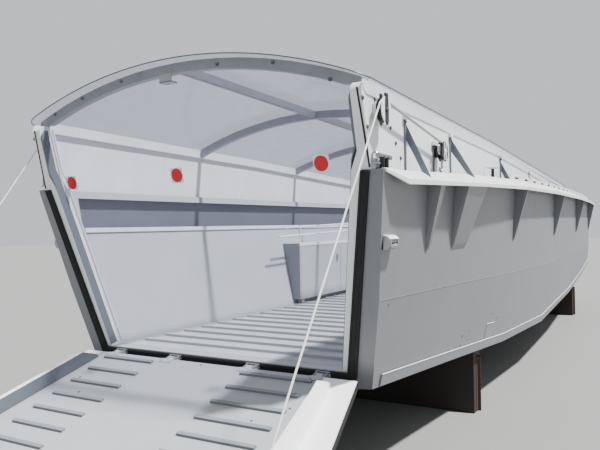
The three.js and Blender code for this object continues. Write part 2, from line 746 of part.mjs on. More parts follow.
const sideRailLoop = (x, sign) => {
  const drop = canopyDrop(x);
  return [
    [x, sign * RAIL_Y.inner, coamingTop(x) + FIT_GAP],
    [x, sign * RAIL_Y.outer, coamingTop(x) + FIT_GAP],
    [x, sign * RAIL_Y.outer, arcZ(RAIL_Y.outer, archOuter) - drop],
    [x, sign * RAIL_Y.inner, arcZ(RAIL_Y.inner, archOuter) - drop],
  ];
};
const frameStations = canopyStations(frameFore, frameAft);
const coamingNear = coaming.clone().translate(0, -FIT_GAP, FIT_GAP);
add(
  "canopy_frame",
  cut(
    joined(
      loft(frameStations.map(purlinLoop)),
      loft(frameStations.map((x) => sideRailLoop(x, 1))),
      loft(frameStations.map((x) => sideRailLoop(x, -1))),
      ...ARCH.stations.map(arch),
    ),
    sheetBelow,
    coamingNear,
    mirrored(coamingNear),
    box(bowX(POST_TOP_Z) - POST.length - 20, FAR, -FAR, FAR, 0, POST_TOP_Z + FIT_GAP),
  ),
  COLOUR.frame,
  satinMetal,
);

// Clear screen across the bow opening, behind the closed ramp's curbs
const SCREEN = { behind: 115, thickness: 8, underArch: 4 };
const screenHalf = POST.innerY - FIT_GAP;
const screenTop = Array.from({ length: CANOPY.steps + 1 }, (_, i) => {
  const y = between(screenHalf, -screenHalf, i / CANOPY.steps);
  return [y, arcZ(y, archOuter - ARCH.depth - SCREEN.underArch)];
});
const screenSpace = alongX(
  [
    [-wellY(0) + FIT_GAP, FIT_GAP],
    [wellY(0) - FIT_GAP, FIT_GAP],
    [screenHalf, (POST.innerY - WELL_HALF_SILL) / WELL_FLARE],
    ...screenTop,
    [-screenHalf, (POST.innerY - WELL_HALF_SILL) / WELL_FLARE],
  ],
  -FAR,
  FAR,
);
const screenFront = -SCREEN.behind * Math.cos(BOW_RAKE);
add(
  "bow_screen",
  common(
    box(screenFront - SCREEN.thickness, screenFront, -FAR, FAR, -FAR, FAR).rotateY(BOW_RAKE),
    screenSpace,
  ),
  COLOUR.clear,
  { roughness: 0.05, metalness: 0, opacity: 0.2 },
);

// Ramp, drawn closed to its own pin: U runs from the pin to the tip, V stands off the deck
const RAMP = { length: 2020, start: 36, thickness: 50, restAngle: THREE.MathUtils.degToRad(19) };
const ramp = new THREE.Group();
ramp.position.set(PIN_X, 0, PIN_Z);
ramp.rotation.y = RAMP.restAngle;
craft.add(ramp);
const rampHalf = (u) => 1110 + 0.2 * Math.min(u, KINK);
const curbHalf = (u) => 925 + 0.15 * Math.min(u, KINK);
const rampPlan = [RAMP.start, KINK, RAMP.length].map((u) => [u, rampHalf(u)]);
const rampOutline = [...rampPlan, ...rampPlan.map(([u, y]) => [u, -y]).reverse()];
// Cleats in two columns: inner and outer ends of each bar, to port and to starboard
const CLEAT = { first: 90, pitch: 160, count: 11, length: 26, height: 14 };
const CLEAT_COLUMNS = [
  { low: -880, high: -420 },
  { low: 330, high: 850 },
];
const cleats = [];
for (let i = 0; i < CLEAT.count; i += 1)
  for (const { low, high } of CLEAT_COLUMNS) {
    const u = CLEAT.first + i * CLEAT.pitch;
    cleats.push(box(u, u + CLEAT.length, low, high, DECK_OVER_PIN - 1, DECK_OVER_PIN + CLEAT.height));
  }
const EYE = { u: 1945, v: 58, radius: 34, thickness: 16, arm: 60 };
const CABLE_Y = 1375;
const eyes = [CABLE_Y, -CABLE_Y].map((y) =>
  joined(
    rod([EYE.u, y - EYE.thickness / 2, EYE.v], [EYE.u, y + EYE.thickness / 2, EYE.v], EYE.radius, 32),
    box(EYE.u - EYE.radius, EYE.u + EYE.radius, y - EYE.thickness / 2, y + EYE.thickness / 2, 4, EYE.v),
    box(EYE.u - EYE.radius, EYE.u + EYE.radius, y - Math.sign(y) * EYE.arm, y + EYE.thickness / 2, 4, 22),
  ),
);
const lugs = HINGE_Y.flatMap((y) => [y, -y]).map((y) =>
  joined(
    rod([0, y - HINGE_LUG_HALF, 0], [0, y + HINGE_LUG_HALF, 0], 26),
    box(0, RAMP.start + 40, y - HINGE_LUG_HALF, y + HINGE_LUG_HALF, -16, DECK_OVER_PIN - 6),
    rod([0, y - plateOffset - HINGE_PLATE, 0], [0, y + plateOffset + HINGE_PLATE, 0], PIN_RADIUS),
  ),
);
add(
  "ramp_panel",
  joined(alongZ(rampOutline, DECK_OVER_PIN - RAMP.thickness, DECK_OVER_PIN), ...cleats, ...eyes, ...lugs),
  COLOUR.ramp,
  undefined,
  ramp,
);
const CURB = { start: 110, end: 1720, slope: 120, thickness: 44, height: 95 };
const curbPlan = [CURB.start, KINK, CURB.end];
const curbOutline = [
  ...curbPlan.map((u) => [u, curbHalf(u)]),
  ...curbPlan.map((u) => [u, curbHalf(u) + CURB.thickness]).reverse(),
];
// Both ends of a curb slope up from the deck.
const curbEnds = [
  [CURB.start - 10, CURB.start + CURB.slope],
  [CURB.end + 10, CURB.end - CURB.slope],
].map(([foot, head]) =>
  alongY(
    [
      [foot, DECK_OVER_PIN + 15],
      [head, DECK_OVER_PIN + CURB.height + 10],
      [foot, DECK_OVER_PIN + CURB.height + 10],
    ],
    -FAR,
    FAR,
  ),
);
addPair(
  "ramp_curb",
  cut(alongZ(curbOutline, DECK_OVER_PIN + FIT_GAP, DECK_OVER_PIN + CURB.height), ...curbEnds),
  COLOUR.ramp,
  undefined,
  ramp,
);

// Hoist: a sheave on each coaming, the wire from it to the ramp's eye, and the lead to a second block
const SHEAVE = { x: 240, z: 1508, radius: 52, cheek: 70, halfGap: 12, cheekPlate: 6 };
const WIRE_RADIUS = 9;
const wireLine = SHEAVE.radius + WIRE_RADIUS + FIT_GAP; // radius at which the wire leaves a sheave
const block = (x, z) =>
  joined(
    rod([x, CABLE_Y - SHEAVE.halfGap - 1, z], [x, CABLE_Y + SHEAVE.halfGap + 1, z], SHEAVE.radius, 32),
    ...[CABLE_Y - SHEAVE.halfGap - SHEAVE.cheekPlate, CABLE_Y + SHEAVE.halfGap].map((y) =>
      rod([x, y, z], [x, y + SHEAVE.cheekPlate, z], SHEAVE.cheek, 24),
    ),
    box(x - 28, x + 28, POST.outerY + FIT_GAP, CABLE_Y - SHEAVE.halfGap - 1, z - 40, z + 40),
  );
const fitting = { roughness: 0.5, metalness: 0.4 };
addPair("hoist_sheave", block(SHEAVE.x, SHEAVE.z), COLOUR.fitting, fitting);
const LEAD = { x: -800, z: 1380 };
const leadAngle = Math.atan2(LEAD.z - SHEAVE.z, LEAD.x - SHEAVE.x);
const leadSide = [Math.sin(leadAngle) * wireLine, -Math.cos(leadAngle) * wireLine];
addPair(
  "hoist_lead",
  joined(
    block(LEAD.x, LEAD.z),
    rod(
      [SHEAVE.x + leadSide[0], CABLE_Y, SHEAVE.z + leadSide[1]],
      [LEAD.x + leadSide[0] * 0.9, CABLE_Y, LEAD.z + leadSide[1] * 0.9],
      WIRE_RADIUS,
      10,
    ),
  ),
  COLOUR.fitting,
  fitting,
);
const eyeAt = new THREE.Vector3(EYE.u, CABLE_Y, EYE.v)
  .applyMatrix4(new THREE.Matrix4().makeRotationY(RAMP.restAngle))
  .add(new THREE.Vector3(PIN_X, 0, PIN_Z));
const reach = Math.hypot(eyeAt.x - SHEAVE.x, eyeAt.z - SHEAVE.z);
// Direction from the sheave's centre to the point where the wire leaves its forward side
const footAngle = Math.atan2(eyeAt.z - SHEAVE.z, eyeAt.x - SHEAVE.x) + Math.acos(wireLine / reach);
const wireFoot = new THREE.Vector3(
  SHEAVE.x + Math.cos(footAngle) * wireLine,
  CABLE_Y,
  SHEAVE.z + Math.sin(footAngle) * wireLine,
);
const wireEnd = eyeAt.clone().lerp(wireFoot, (EYE.radius + FIT_GAP) / eyeAt.distanceTo(wireFoot));
addPair(
  "hoist_cable",
  rod(wireFoot.toArray(), wireEnd.toArray(), WIRE_RADIUS, 10),
  COLOUR.wire,
  fitting,
);

// Deck and side fittings
const FAIRLEAD = { x: 120, z: 786, half: 60, halfHeight: 42, proud: 52 };
addPair(
  "side_fairlead",
  cut(
    box(
      FAIRLEAD.x - FAIRLEAD.half,
      FAIRLEAD.x + FAIRLEAD.half,
      sideY(FAIRLEAD.x, FAIRLEAD.z) - INTO_HULL,
      sideY(FAIRLEAD.x, FAIRLEAD.z) + FAIRLEAD.proud,
      FAIRLEAD.z - FAIRLEAD.halfHeight,
      FAIRLEAD.z + FAIRLEAD.halfHeight,
    ),
    hullBeside,
  ),
  COLOUR.fitting,
  fitting,
);
const HORN = { x: 175, y: 1346, half: 90, height: 92 };
addPair(
  "bow_cleat",
  joined(
    box(HORN.x - 60, HORN.x + 60, HORN.y - 26, HORN.y + 26, DECK_Z, DECK_Z + 12),
    rod([HORN.x - 30, HORN.y, DECK_Z + 6], [HORN.x - 30, HORN.y, DECK_Z + HORN.height - 12], 15),
    rod([HORN.x + 30, HORN.y, DECK_Z + 6], [HORN.x + 30, HORN.y, DECK_Z + HORN.height - 12], 15),
    rod(
      [HORN.x - HORN.half, HORN.y, DECK_Z + HORN.height - 14],
      [HORN.x + HORN.half, HORN.y, DECK_Z + HORN.height - 14],
      14,
    ),
  ),
  COLOUR.fitting,
  fitting,
);

// Keel fin with the shaft's boss and the heel bar that carries the rudder
const FIN = { fore: -5300, aft: -9560, half: 45, heelZ: -700, heelTop: -664, heelAft: -10260 };
const SHAFT = { z: -405, radius: 28, bore: 28.6, inBoss: 60, bossRadius: 62 };
const finSide = [
  [FIN.fore, -250],
  [FIN.aft, -60],
  [FIN.aft, FIN.heelTop],
  [FIN.heelAft, FIN.heelTop],
  [FIN.heelAft, FIN.heelZ],
  [FIN.fore - 1100, FIN.heelZ],
];
add(
  "keel_fin",
  cut(
    joined(
      alongY(finSide, -FIN.half, FIN.half),
      rod([FIN.aft - 60, 0, SHAFT.z], [FIN.aft + 700, 0, SHAFT.z], SHAFT.bossRadius),
      rod([RUDDER.stockX, 0, FIN.heelZ + 4], [RUDDER.stockX, 0, FIN.heelTop + 70], RUDDER.pintle),
    ),
    hullBelow,
    rod([FIN.aft - 61, 0, SHAFT.z], [FIN.aft + SHAFT.inBoss + 2, 0, SHAFT.z], SHAFT.bore, 24),
  ),
  COLOUR.hull,
);
const PROPELLER = { x: -9790, radius: 240, hub: 52, hubLength: 130, blades: 3, pitch: 0.62 };
function bladeShape() {
  const shape = new THREE.Shape();
  const reachOut = PROPELLER.radius - 30;
  shape.absellipse(0, 30 + reachOut / 2, 88, reachOut / 2, 0, Math.PI * 2);
  return new THREE.ExtrudeGeometry(shape, { depth: 16, bevelEnabled: false, curveSegments: 7 })
    .translate(0, 0, -8)
    .rotateY(Math.PI / 2 - PROPELLER.pitch);
}
const blades = Array.from({ length: PROPELLER.blades }, (_, i) =>
  bladeShape()
    .rotateX((i / PROPELLER.blades) * Math.PI * 2)
    .translate(PROPELLER.x, 0, SHAFT.z),
);
add(
  "propeller",
  joined(
    rod(
      [PROPELLER.x - PROPELLER.hubLength / 2, 0, SHAFT.z],
      [PROPELLER.x + PROPELLER.hubLength / 2, 0, SHAFT.z],
      PROPELLER.hub,
    ),
    rod([PROPELLER.x, 0, SHAFT.z], [FIN.aft + SHAFT.inBoss, 0, SHAFT.z], SHAFT.radius),
    ...blades,
  ),
  COLOUR.bronze,
  { roughness: 0.4, metalness: 0.9 },
);
const BLADE = { fore: -10070, aft: -10500, low: -628, high: -150, half: 18 };
add(
  "rudder",
  cut(
    joined(
      box(BLADE.aft, BLADE.fore, -BLADE.half, BLADE.half, BLADE.low, BLADE.high),
      rod([RUDDER.stockX, 0, BLADE.low], [RUDDER.stockX, 0, RUDDER.top], RUDDER.stockRadius),
    ),
    rod([RUDDER.stockX, 0, BLADE.low - 10], [RUDDER.stockX, 0, FIN.heelTop + 76], RUDDER.pintleHole, 24),
  ),
  COLOUR.hull,
);
const EXHAUST = { y: -620, z: 420, radius: 62, bore: 46, reach: 39.7 };
add(
  "exhaust_outlet",
  cut(
    rod(
      [STERN_X - EXHAUST.reach, EXHAUST.y, EXHAUST.z],
      [STERN_X - FIT_GAP, EXHAUST.y, EXHAUST.z],
      EXHAUST.radius,
      20,
    ),
    rod(
      [STERN_X - EXHAUST.reach - 10, EXHAUST.y, EXHAUST.z],
      [STERN_X - 10, EXHAUST.y, EXHAUST.z],
      EXHAUST.bore,
      20,
    ),
  ),
  COLOUR.hull,
);

// Steering stand and wheel at the after end of the well, on the floor's bars
const STEERING = { x: -5980, y: 650, width: 380, length: 260, height: 1140, wheelZ: 1040, wheelRadius: 225 };
const STEERING_FOOT = BAR.height + FIT_GAP;
add(
  "steering_stand",
  alongY(
    [
      [STEERING.x - STEERING.length / 2, STEERING_FOOT],
      [STEERING.x + STEERING.length / 2, STEERING_FOOT],
      [STEERING.x + STEERING.length / 2, STEERING_FOOT + STEERING.height - 90],
      [STEERING.x - STEERING.length / 2, STEERING_FOOT + STEERING.height],
    ],
    STEERING.y - STEERING.width / 2,
    STEERING.y + STEERING.width / 2,
  ),
  COLOUR.coaming,
);
const wheelX = STEERING.x - STEERING.length / 2 - 90;
const wheelZ = STEERING_FOOT + STEERING.wheelZ;
const spokes = [0, 1, 2].map((i) => {
  const turn = (i * Math.PI) / 3 + Math.PI / 6;
  const [dy, dz] = [Math.cos(turn) * (STEERING.wheelRadius - 4), Math.sin(turn) * (STEERING.wheelRadius - 4)];
  return rod([wheelX, STEERING.y - dy, wheelZ - dz], [wheelX, STEERING.y + dy, wheelZ + dz], 9, 8);
});
add(
  "steering_wheel",
  joined(
    new THREE.TorusGeometry(STEERING.wheelRadius, 16, 8, 32)
      .rotateY(Math.PI / 2)
      .translate(wheelX, STEERING.y, wheelZ),
    rod([wheelX - 26, STEERING.y, wheelZ], [wheelX + 89.6, STEERING.y, wheelZ], 26),
    ...spokes,
  ),
  COLOUR.wheel,
);

// Stands shaped to the bottom
const STANDS = [
  { name: "stand_fore", x: -2100 },
  { name: "stand_aft", x: -8600 },
];
const STAND = { half: 1240, length: 200, ground: -SILL_HEIGHT, top: 0 };
for (const { name, x } of STANDS)
  add(
    name,
    cut(
      alongX(
        [
          [-STAND.half, STAND.ground],
          [STAND.half, STAND.ground],
          [STAND.half, STAND.top],
          [-STAND.half, STAND.top],
        ],
        x - STAND.length / 2,
        x + STAND.length / 2,
      ),
      hullBelow,
      box(FIN.aft, FIN.fore, -FIN.half - 1, FIN.half + 1, FIN.heelZ - 1, STAND.top),
      box(x - FAR, x + FAR, STAND.half - 1, FAR, -250, FAR),
    ),
    COLOUR.stand,
    { roughness: 0.9, metalness: 0 },
  );

export default craft;
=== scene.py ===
"""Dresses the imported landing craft: paint, clear canopy, rigging, fittings and a plain studio.

Metres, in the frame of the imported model: +X to the bow ramp, +Y to port, +Z up.
"""
import math
import random

import bmesh
import bpy
from bpy.props import FloatProperty, FloatVectorProperty, PointerProperty
from mathutils import Matrix, Vector


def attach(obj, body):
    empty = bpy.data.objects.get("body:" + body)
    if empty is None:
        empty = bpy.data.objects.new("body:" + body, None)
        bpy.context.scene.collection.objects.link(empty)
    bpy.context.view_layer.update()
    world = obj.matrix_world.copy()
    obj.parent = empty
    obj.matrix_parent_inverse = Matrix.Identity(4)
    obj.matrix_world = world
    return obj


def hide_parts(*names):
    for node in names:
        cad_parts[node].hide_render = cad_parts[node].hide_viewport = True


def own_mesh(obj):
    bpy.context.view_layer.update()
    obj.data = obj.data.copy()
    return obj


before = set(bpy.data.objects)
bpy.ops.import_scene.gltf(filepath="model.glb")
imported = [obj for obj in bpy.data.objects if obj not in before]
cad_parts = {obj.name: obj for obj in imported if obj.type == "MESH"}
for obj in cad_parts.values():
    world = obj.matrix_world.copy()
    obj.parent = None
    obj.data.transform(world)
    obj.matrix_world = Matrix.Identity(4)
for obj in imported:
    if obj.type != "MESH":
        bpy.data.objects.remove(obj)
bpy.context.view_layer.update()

bl_info = {
    "name": "Landing craft dressing",
    "version": (1, 0, 0),
    "blender": (4, 5, 0),
    "location": "3D View > Sidebar > Landing craft",
    "description": "Paint, clear canopy, rigging and fittings for a landing craft on its stands",
    "category": "Object",
}

# Places that other pieces are set from: the middle of the bow sill, and the ramp's pin
SILL = Vector((4.337, 0.0, 0.75))
RAMP_PIN = Vector((4.382974, 0.0, 0.707439))
# How far the ramp slopes down at rest, and how far the bow's face rakes forward
RAMP_REST = math.radians(19)
BOW_RAKE = math.atan(0.2527)
# From the sill: height of the side decks, and places of the stern and the well's bulkhead
DECK = 1.187
STERN = -10.6
BULKHEAD = -6.95
SIDES = ((1, "port"), (-1, "starboard"))

# Hull sides from the bow aft: heights and half breadths of chine, knuckle and deck's edge
HULL = (
    # x, chine_y, chine_z, knee_y, knee_z, deck_y
    (0.6, 1.115, -0.060, 1.245, 0.455, 1.382),
    (0.0, 1.160, -0.095, 1.280, 0.450, 1.402),
    (-1.2, 1.240, -0.155, 1.350, 0.440, 1.443),
    (-2.6, 1.340, -0.225, 1.425, 0.420, 1.482),
    (-4.3, 1.400, -0.270, 1.468, 0.400, 1.502),
    (-6.7, 1.400, -0.165, 1.455, 0.410, 1.482),
    (-8.7, 1.350, -0.060, 1.395, 0.430, 1.412),
    (-10.6, 1.270, 0.040, 1.305, 0.450, 1.312),
)
CHINE_Y, CHINE_Z, KNEE_Y, KNEE_Z, DECK_Y = 1, 2, 3, 4, 5
# Gunwale from the bow aft: heights of its inner edge and outer corner, and its half breadth
GUNWALE = (
    # x, edge, corner, outer
    (0.6, 1.190, 1.117, 1.400),
    (0.0, 1.196, 1.142, 1.478),
    (-1.2, 1.247, 1.173, 1.566),
    (-2.6, 1.282, 1.210, 1.604),
    (-4.3, 1.295, 1.232, 1.630),
    (-6.7, 1.306, 1.240, 1.612),
    (-8.7, 1.311, 1.238, 1.540),
    (-10.6, 1.314, 1.232, 1.440),
)
EDGE, CORNER, OUTER = 1, 2, 3
# Coaming: half breadth of its inner face, and its top
COAMING = (
    # x, y, top
    (0.4, 1.300, 1.640),
    (-2.45, 1.300, 1.578),
    (-6.95, 1.290, 1.408),
    (-10.4, 1.170, 1.300),
)
COAMING_Y, COAMING_TOP = 1, 2
COAMING_PLATE = 0.018
# Well: half breadth at the sill, and how much it grows with each metre up
WELL_FOOT = 1.015
WELL_FLARE = 0.2064
# How far an added piece is sunk into the face that it lies on, and a flat one
SUNK = 0.001
SUNK_FLAT = 0.0005
# Rounding of the edges of small parts
FINE = {"width": 0.001, "segments": 1}


def linear(hex_colour):
    """Turns an sRGB hex colour into linear red, green and blue."""
    parts = [int(hex_colour[i : i + 2], 16) / 255 for i in (1, 3, 5)]
    return tuple(c / 12.92 if c <= 0.04045 else ((c + 0.055) / 1.055) ** 2.4 for c in parts)


def colour_of(name, hex_colour, description):
    """One colour that a user can change."""
    return FloatVectorProperty(
        name=name, description=description, subtype="COLOR", size=3, min=0, max=1, default=linear(hex_colour)
    )


def length_of(name, default, description):
    """One size in metres that a user can change."""
    return FloatProperty(name=name, description=description, default=default, min=0, unit="LENGTH")


class CraftColours(bpy.types.PropertyGroup):
    """Colours of the paints and bare materials."""

    hull: colour_of("Hull", "#75777a", "Grey of the hull's outside")
    inside: colour_of("Well", "#a9acaf", "Grey of the well's floor, walls and lockers")
    # Painted shade: this blue-grey stands for the shade on recesses, post linings, curbs' inner faces, braces
    # and stays; screw heads and door seams wear it as plain dark paint
    shade: colour_of("Well shade", "#5e656d", "Blue-grey of linings, recesses and curbs' inner faces")
    # Also painted highlight: the screen's side beads and the plate joint's top edge wear this white
    coaming: colour_of("Coaming", "#e3e4e6", "Light grey of coamings and posts")
    gunwale: colour_of("Gunwale", "#dcdcdb", "Off-white of the gunwale")
    ramp: colour_of("Ramp", "#a0a3a6", "Grey of the ramp's deck")
    # Also painted shade: the lockers' fore ends and the middle purlin's underside wear this grey
    tread: colour_of("Treads", "#7a7e83", "Grey of the ramp's treads, lockers' ends and canopy's inner side")
    # Also painted sunlight: the port border's white inside its curb
    ramp_edge: colour_of("Ramp edge", "#f0f0f0", "White of the ramp's curbs and borders")
    # Also painted shade: the strips behind the toe plates, in the posts' joints and in the fairleads' throats
    # wear this black
    rubber: colour_of("Rubber", "#040405", "Black of the seal and the seams")
    clear: colour_of("Clear sheet", "#c9c8dc", "Tint of the clear sheet")
    sheet_edge: colour_of("Sheet edge", "#5a5468", "Cut edge of the clear sheet")
    metal: colour_of("Canopy metal", "#8a8f94", "Satin metal of the arches")
    wire: colour_of("Wire", "#e4e2de", "White coat of the wires")
    # Also painted shade: the ramp's sides, the horn cleats' legs and the deck cleats' posts wear this black
    block: colour_of("Blocks", "#0a0b0c", "Black paint of hoist blocks and ramp sides")
    # Also painted shade: the lead wire wears this grey as the white wire in shade
    fitting: colour_of("Fittings", "#a4a6a6", "Galvanised fairleads, hooks and catches")
    bronze: colour_of("Bronze", "#8a6a34", "Cast bronze of the propeller")
    stand: colour_of("Stands", "#231c19", "Brown-black paint of the stands")
    rust: colour_of("Rust", "#4a3426", "Rusty post and bare patches")
    engine: colour_of("Engine", "#4c5a50", "Grey-green of the engine")
    wheel: colour_of("Wheel", "#232324", "Black of the steering wheel")
    bolt: colour_of("Bolts", "#5c6167", "Weathered bolt heads")
    chrome: colour_of("Horn cleats", "#a9abad", "Polished steel of horn cleats and shackles")
    sign: colour_of("Sign", "#c01824", "Blank discs on the screen")
    plate: colour_of("Sign plate", "#e6e3e0", "Plates behind the discs")
    floor: colour_of("Floor", "#7f7e7c", "Plain floor")


class CraftSizes(bpy.types.PropertyGroup):
    """Sizes of the pieces that are dressed or added."""

    edge: length_of("Plate edge", 0.003, "Rounding of the steel plates' edges")
    plating: length_of("Plating", 0.0025, "How far the side plating stands proud")
    sheet_radius: length_of("Canopy radius", 3.42, "Radius of the clear vault")
    sheet_crown: length_of("Canopy crown", 1.95, "Crown above the sill at the bow")
    sheet_half: length_of("Canopy half width", 1.36, "Half the width of the clear sheet")
    sheet_thickness: length_of("Sheet thickness", 0.008, "Thickness of the clear sheet")
    sheet_corner: length_of("Sheet corner", 0.11, "Rounding of the clear sheet's fore corners")
    bolt: length_of("Bolt head", 0.009, "Radius of a bolt head")
    wire: length_of("Wire radius", 0.005, "Radius of the hoist wires")
    wire_lay: length_of("Wire lay", 0.12, "Length of one turn of the wire's strands")
    sign: length_of("Sign radius", 0.047, "Radius of the blank discs")
    lining: length_of("Post lining", 0.014, "Thickness of the lining on the bow posts")


class StudioSettings(bpy.types.PropertyGroup):
    """Camera and light."""

    camera: FloatVectorProperty(
        name="Camera",
        description="Where the camera stands",
        default=(7.807, 2.705, 1.635),
        subtype="TRANSLATION",
        unit="LENGTH",
    )
    lens: FloatProperty(name="Lens", description="Focal length in millimetres", default=38.18, min=1)
    key: FloatProperty(name="Key", description="Strength of the key light", default=10.8, min=0)
    sky: FloatProperty(name="Sky", description="Strength of the even light", default=0.9, min=0)


def node(tree, kind, inputs=None, **settings):
    """Adds a node with its settings, and with values or links on its inputs."""
    made = tree.nodes.new(kind)
    for key, value in settings.items():
        setattr(made, key, value)
    for key, value in (inputs or {}).items():
        socket = made.inputs[key]
        if isinstance(value, bpy.types.NodeSocket):
            tree.links.new(value, socket)
        else:
            socket.default_value = value
    return made


def rgba(colour, gain=1.0):
    """A colour with its alpha, lighter or darker by the gain."""
    return tuple(min(1.0, c * gain) for c in colour[:3]) + (1.0,)


def drifting(tree, colour, scale, detail, rough, darkest, lightest):
    """A colour that drifts from a darker to a lighter tone: the place, the pattern and the tone."""
    place = node(tree, "ShaderNodeTexCoord").outputs["Object"]
    noise = {"Vector": place, "Scale": scale, "Detail": detail, "Roughness": rough}
    pattern = node(tree, "ShaderNodeTexNoise", noise).outputs[0]
    tones = {"Factor": pattern, "A": rgba(colour, darkest), "B": rgba(colour, lightest)}
    return place, pattern, node(tree, "ShaderNodeMix", tones, data_type="RGBA").outputs["Result"]


def tinted(tree, tone, pattern, window, reach, tint):
    """Lays a tint over a tone, by as much as a pattern passes through its window."""
    span = dict(zip(("From Min", "From Max", "To Min", "To Max"), (*window, *reach)))
    mask = node(tree, "ShaderNodeMapRange", {"Value": pattern, **span}).outputs["Result"]
    layers = {"Factor": mask, "A": tone, "B": tint}
    return node(tree, "ShaderNodeMix", layers, data_type="RGBA").outputs["Result"]


def raised(tree, place, scale, detail, strength, height, under=None):
    """A fine relief, over another one or on its own."""
    pattern = node(tree, "ShaderNodeTexNoise", {"Vector": place, "Scale": scale, "Detail": detail})
    relief = {"Strength": strength, "Distance": height, "Height": pattern.outputs[0]}
    if under is not None:
        relief["Normal"] = under
    return node(tree, "ShaderNodeBump", relief).outputs["Normal"]


def sea_enamel(tree, colour, roughness=0.42, wear=0.5, streaks=0.5, waves=0.5, corner_shade=0.42, lift=1.0):
    """Marine enamel brushed and sprayed on steel plate: satin, with broad drift in tone, rain streaks,
    small scuffs, painted shade that darkens the inside corners and the slow waves of welded plating."""
    # lift makes the whole paint lighter; on the knuckle's weld bead it is a painted highlight
    colour = [c * lift for c in colour]
    # tone drifts over 900 mm
    place, drift, tone = drifting(tree, colour, 1.1, 4.0, 0.6, 0.90, 1.08)
    # streaks 110 mm apart that run down 1400 mm
    downward = node(tree, "ShaderNodeMapping", {"Vector": place, "Scale": (9.0, 9.0, 0.7)}).outputs["Vector"]
    runs = node(tree, "ShaderNodeTexNoise", {"Vector": downward, "Scale": 1.0, "Detail": 5.0}).outputs[0]
    tone = tinted(tree, tone, runs, (0.5, 0.72), (0.0, 0.35 * streaks), rgba(colour, 0.72))
    # scuffs 10 to 30 mm long
    noise = {"Vector": place, "Scale": 38.0, "Detail": 7.0, "Roughness": 0.72}
    scuffs = node(tree, "ShaderNodeTexNoise", noise).outputs[0]
    tone = tinted(tree, tone, scuffs, (0.63, 0.70), (0.0, wear), rgba(colour, 0.62))
    # painted shade: the paint darkens within 70 mm of an inside corner, where ambient occlusion finds it
    corners = node(tree, "ShaderNodeAmbientOcclusion", {"Distance": 0.07}, samples=6).outputs["AO"]
    tone = tinted(tree, tone, corners, (0.15, 0.75), (corner_shade, 0.0), rgba(colour, 0.35))
    satin = {"Value": drift, "To Min": roughness - 0.08, "To Max": roughness + 0.12}
    gloss = node(tree, "ShaderNodeMapRange", satin).outputs["Result"]
    # plating between frames 450 mm apart, and brush marks 2 mm wide drawn 4 mm wide
    plating = raised(tree, place, 2.2, 1.0, waves, 0.012)
    brushed = raised(tree, place, 260.0, 2.0, 0.10, 0.0012, plating)
    surface = {"Base Color": tone, "Roughness": gloss, "Metallic": 0.0, "IOR": 1.5, "Normal": brushed}
    return node(tree, "ShaderNodeBsdfPrincipled", surface).outputs["BSDF"]


def moulded_rubber(tree, colour):
    """Extruded black rubber: matt, dusty in patches, with fine draw lines."""
    place = node(tree, "ShaderNodeTexCoord").outputs["Object"]
    # dust in patches 70 mm wide
    dust = node(tree, "ShaderNodeTexNoise", {"Vector": place, "Scale": 14.0, "Detail": 5.0}).outputs[0]
    tone = tinted(tree, rgba(colour), dust, (0.5, 1.0), (0.0, 0.12), rgba(linear("#3c3e41")))
    # grain of 0.2 mm, drawn at 1.6 mm
    grain = raised(tree, place, 600.0, 2.0, 0.25, 0.001)
    surface = {"Base Color": tone, "Roughness": 0.75, "IOR": 1.52, "Normal": grain}
    return node(tree, "ShaderNodeBsdfPrincipled", surface).outputs["BSDF"]


# Share of red, green and blue light that the clear sheet lets through
PASSES = (0.965, 0.965, 0.985)


def clear_polycarbonate(tree, colour, body, edge):
    """Clear polycarbonate sheet, faintly lavender: see-through head on, milky and glossy at a low angle,
    with a thin uneven film of dust."""
    # film in patches 170 mm wide
    film, tone = drifting(tree, colour, 6.0, 6.0, 0.65, 0.92, 1.06)[1:]
    facing = node(tree, "ShaderNodeLayerWeight", {"Blend": 0.35}).outputs["Facing"]
    milk = {"Value": facing, "From Min": 0.15, "From Max": 1.0, "To Min": body, "To Max": edge}
    veil = node(tree, "ShaderNodeMapRange", milk).outputs["Result"]
    dusty = node(tree, "ShaderNodeMath", {0: veil, 1: film, 2: 0.02}, operation="MULTIPLY_ADD")
    through = node(tree, "ShaderNodeBsdfTransparent", {"Color": rgba(PASSES)})
    sheet = node(tree, "ShaderNodeBsdfPrincipled", {"Base Color": tone, "Roughness": 0.12, "IOR": 1.58})
    layers = {0: dusty.outputs["Value"], 1: through.outputs["BSDF"], 2: sheet.outputs["BSDF"]}
    return node(tree, "ShaderNodeMixShader", layers).outputs["Shader"]


def satin_metal(tree, colour, roughness, metallic):
    """Mill-finished section, galvanised forging or cast bronze: satin, with darker and lighter patches
    and a fine grain."""
    # patches 140 mm wide
    place, patches, tone = drifting(tree, colour, 7.0, 5.0, 0.6, 0.72, 1.22)
    satin = {"Value": patches, "To Min": roughness - 0.1, "To Max": roughness + 0.14}
    gloss = node(tree, "ShaderNodeMapRange", satin).outputs["Result"]
    # grain of 0.5 mm, drawn at 3 mm
    grain = raised(tree, place, 320.0, 3.0, 0.12, 0.001)
    surface = {"Base Color": tone, "Metallic": metallic, "Roughness": gloss, "Normal": grain}
    return node(tree, "ShaderNodeBsdfPrincipled", surface).outputs["BSDF"]


def coated_wire(tree, colour):
    """Plastic-coated wire rope: smooth, with patches of grime and a fine grain."""
    # grime in patches 45 mm long
    place, _, tone = drifting(tree, colour, 22.0, 6.0, 0.7, 0.74, 1.1)
    # the coat's own grain of 0.3 mm, drawn at 2.5 mm
    grain = raised(tree, place, 400.0, 2.0, 0.15, 0.0006)
    surface = {"Base Color": tone, "Roughness": 0.45, "Normal": grain}
    return node(tree, "ShaderNodeBsdfPrincipled", surface).outputs["BSDF"]


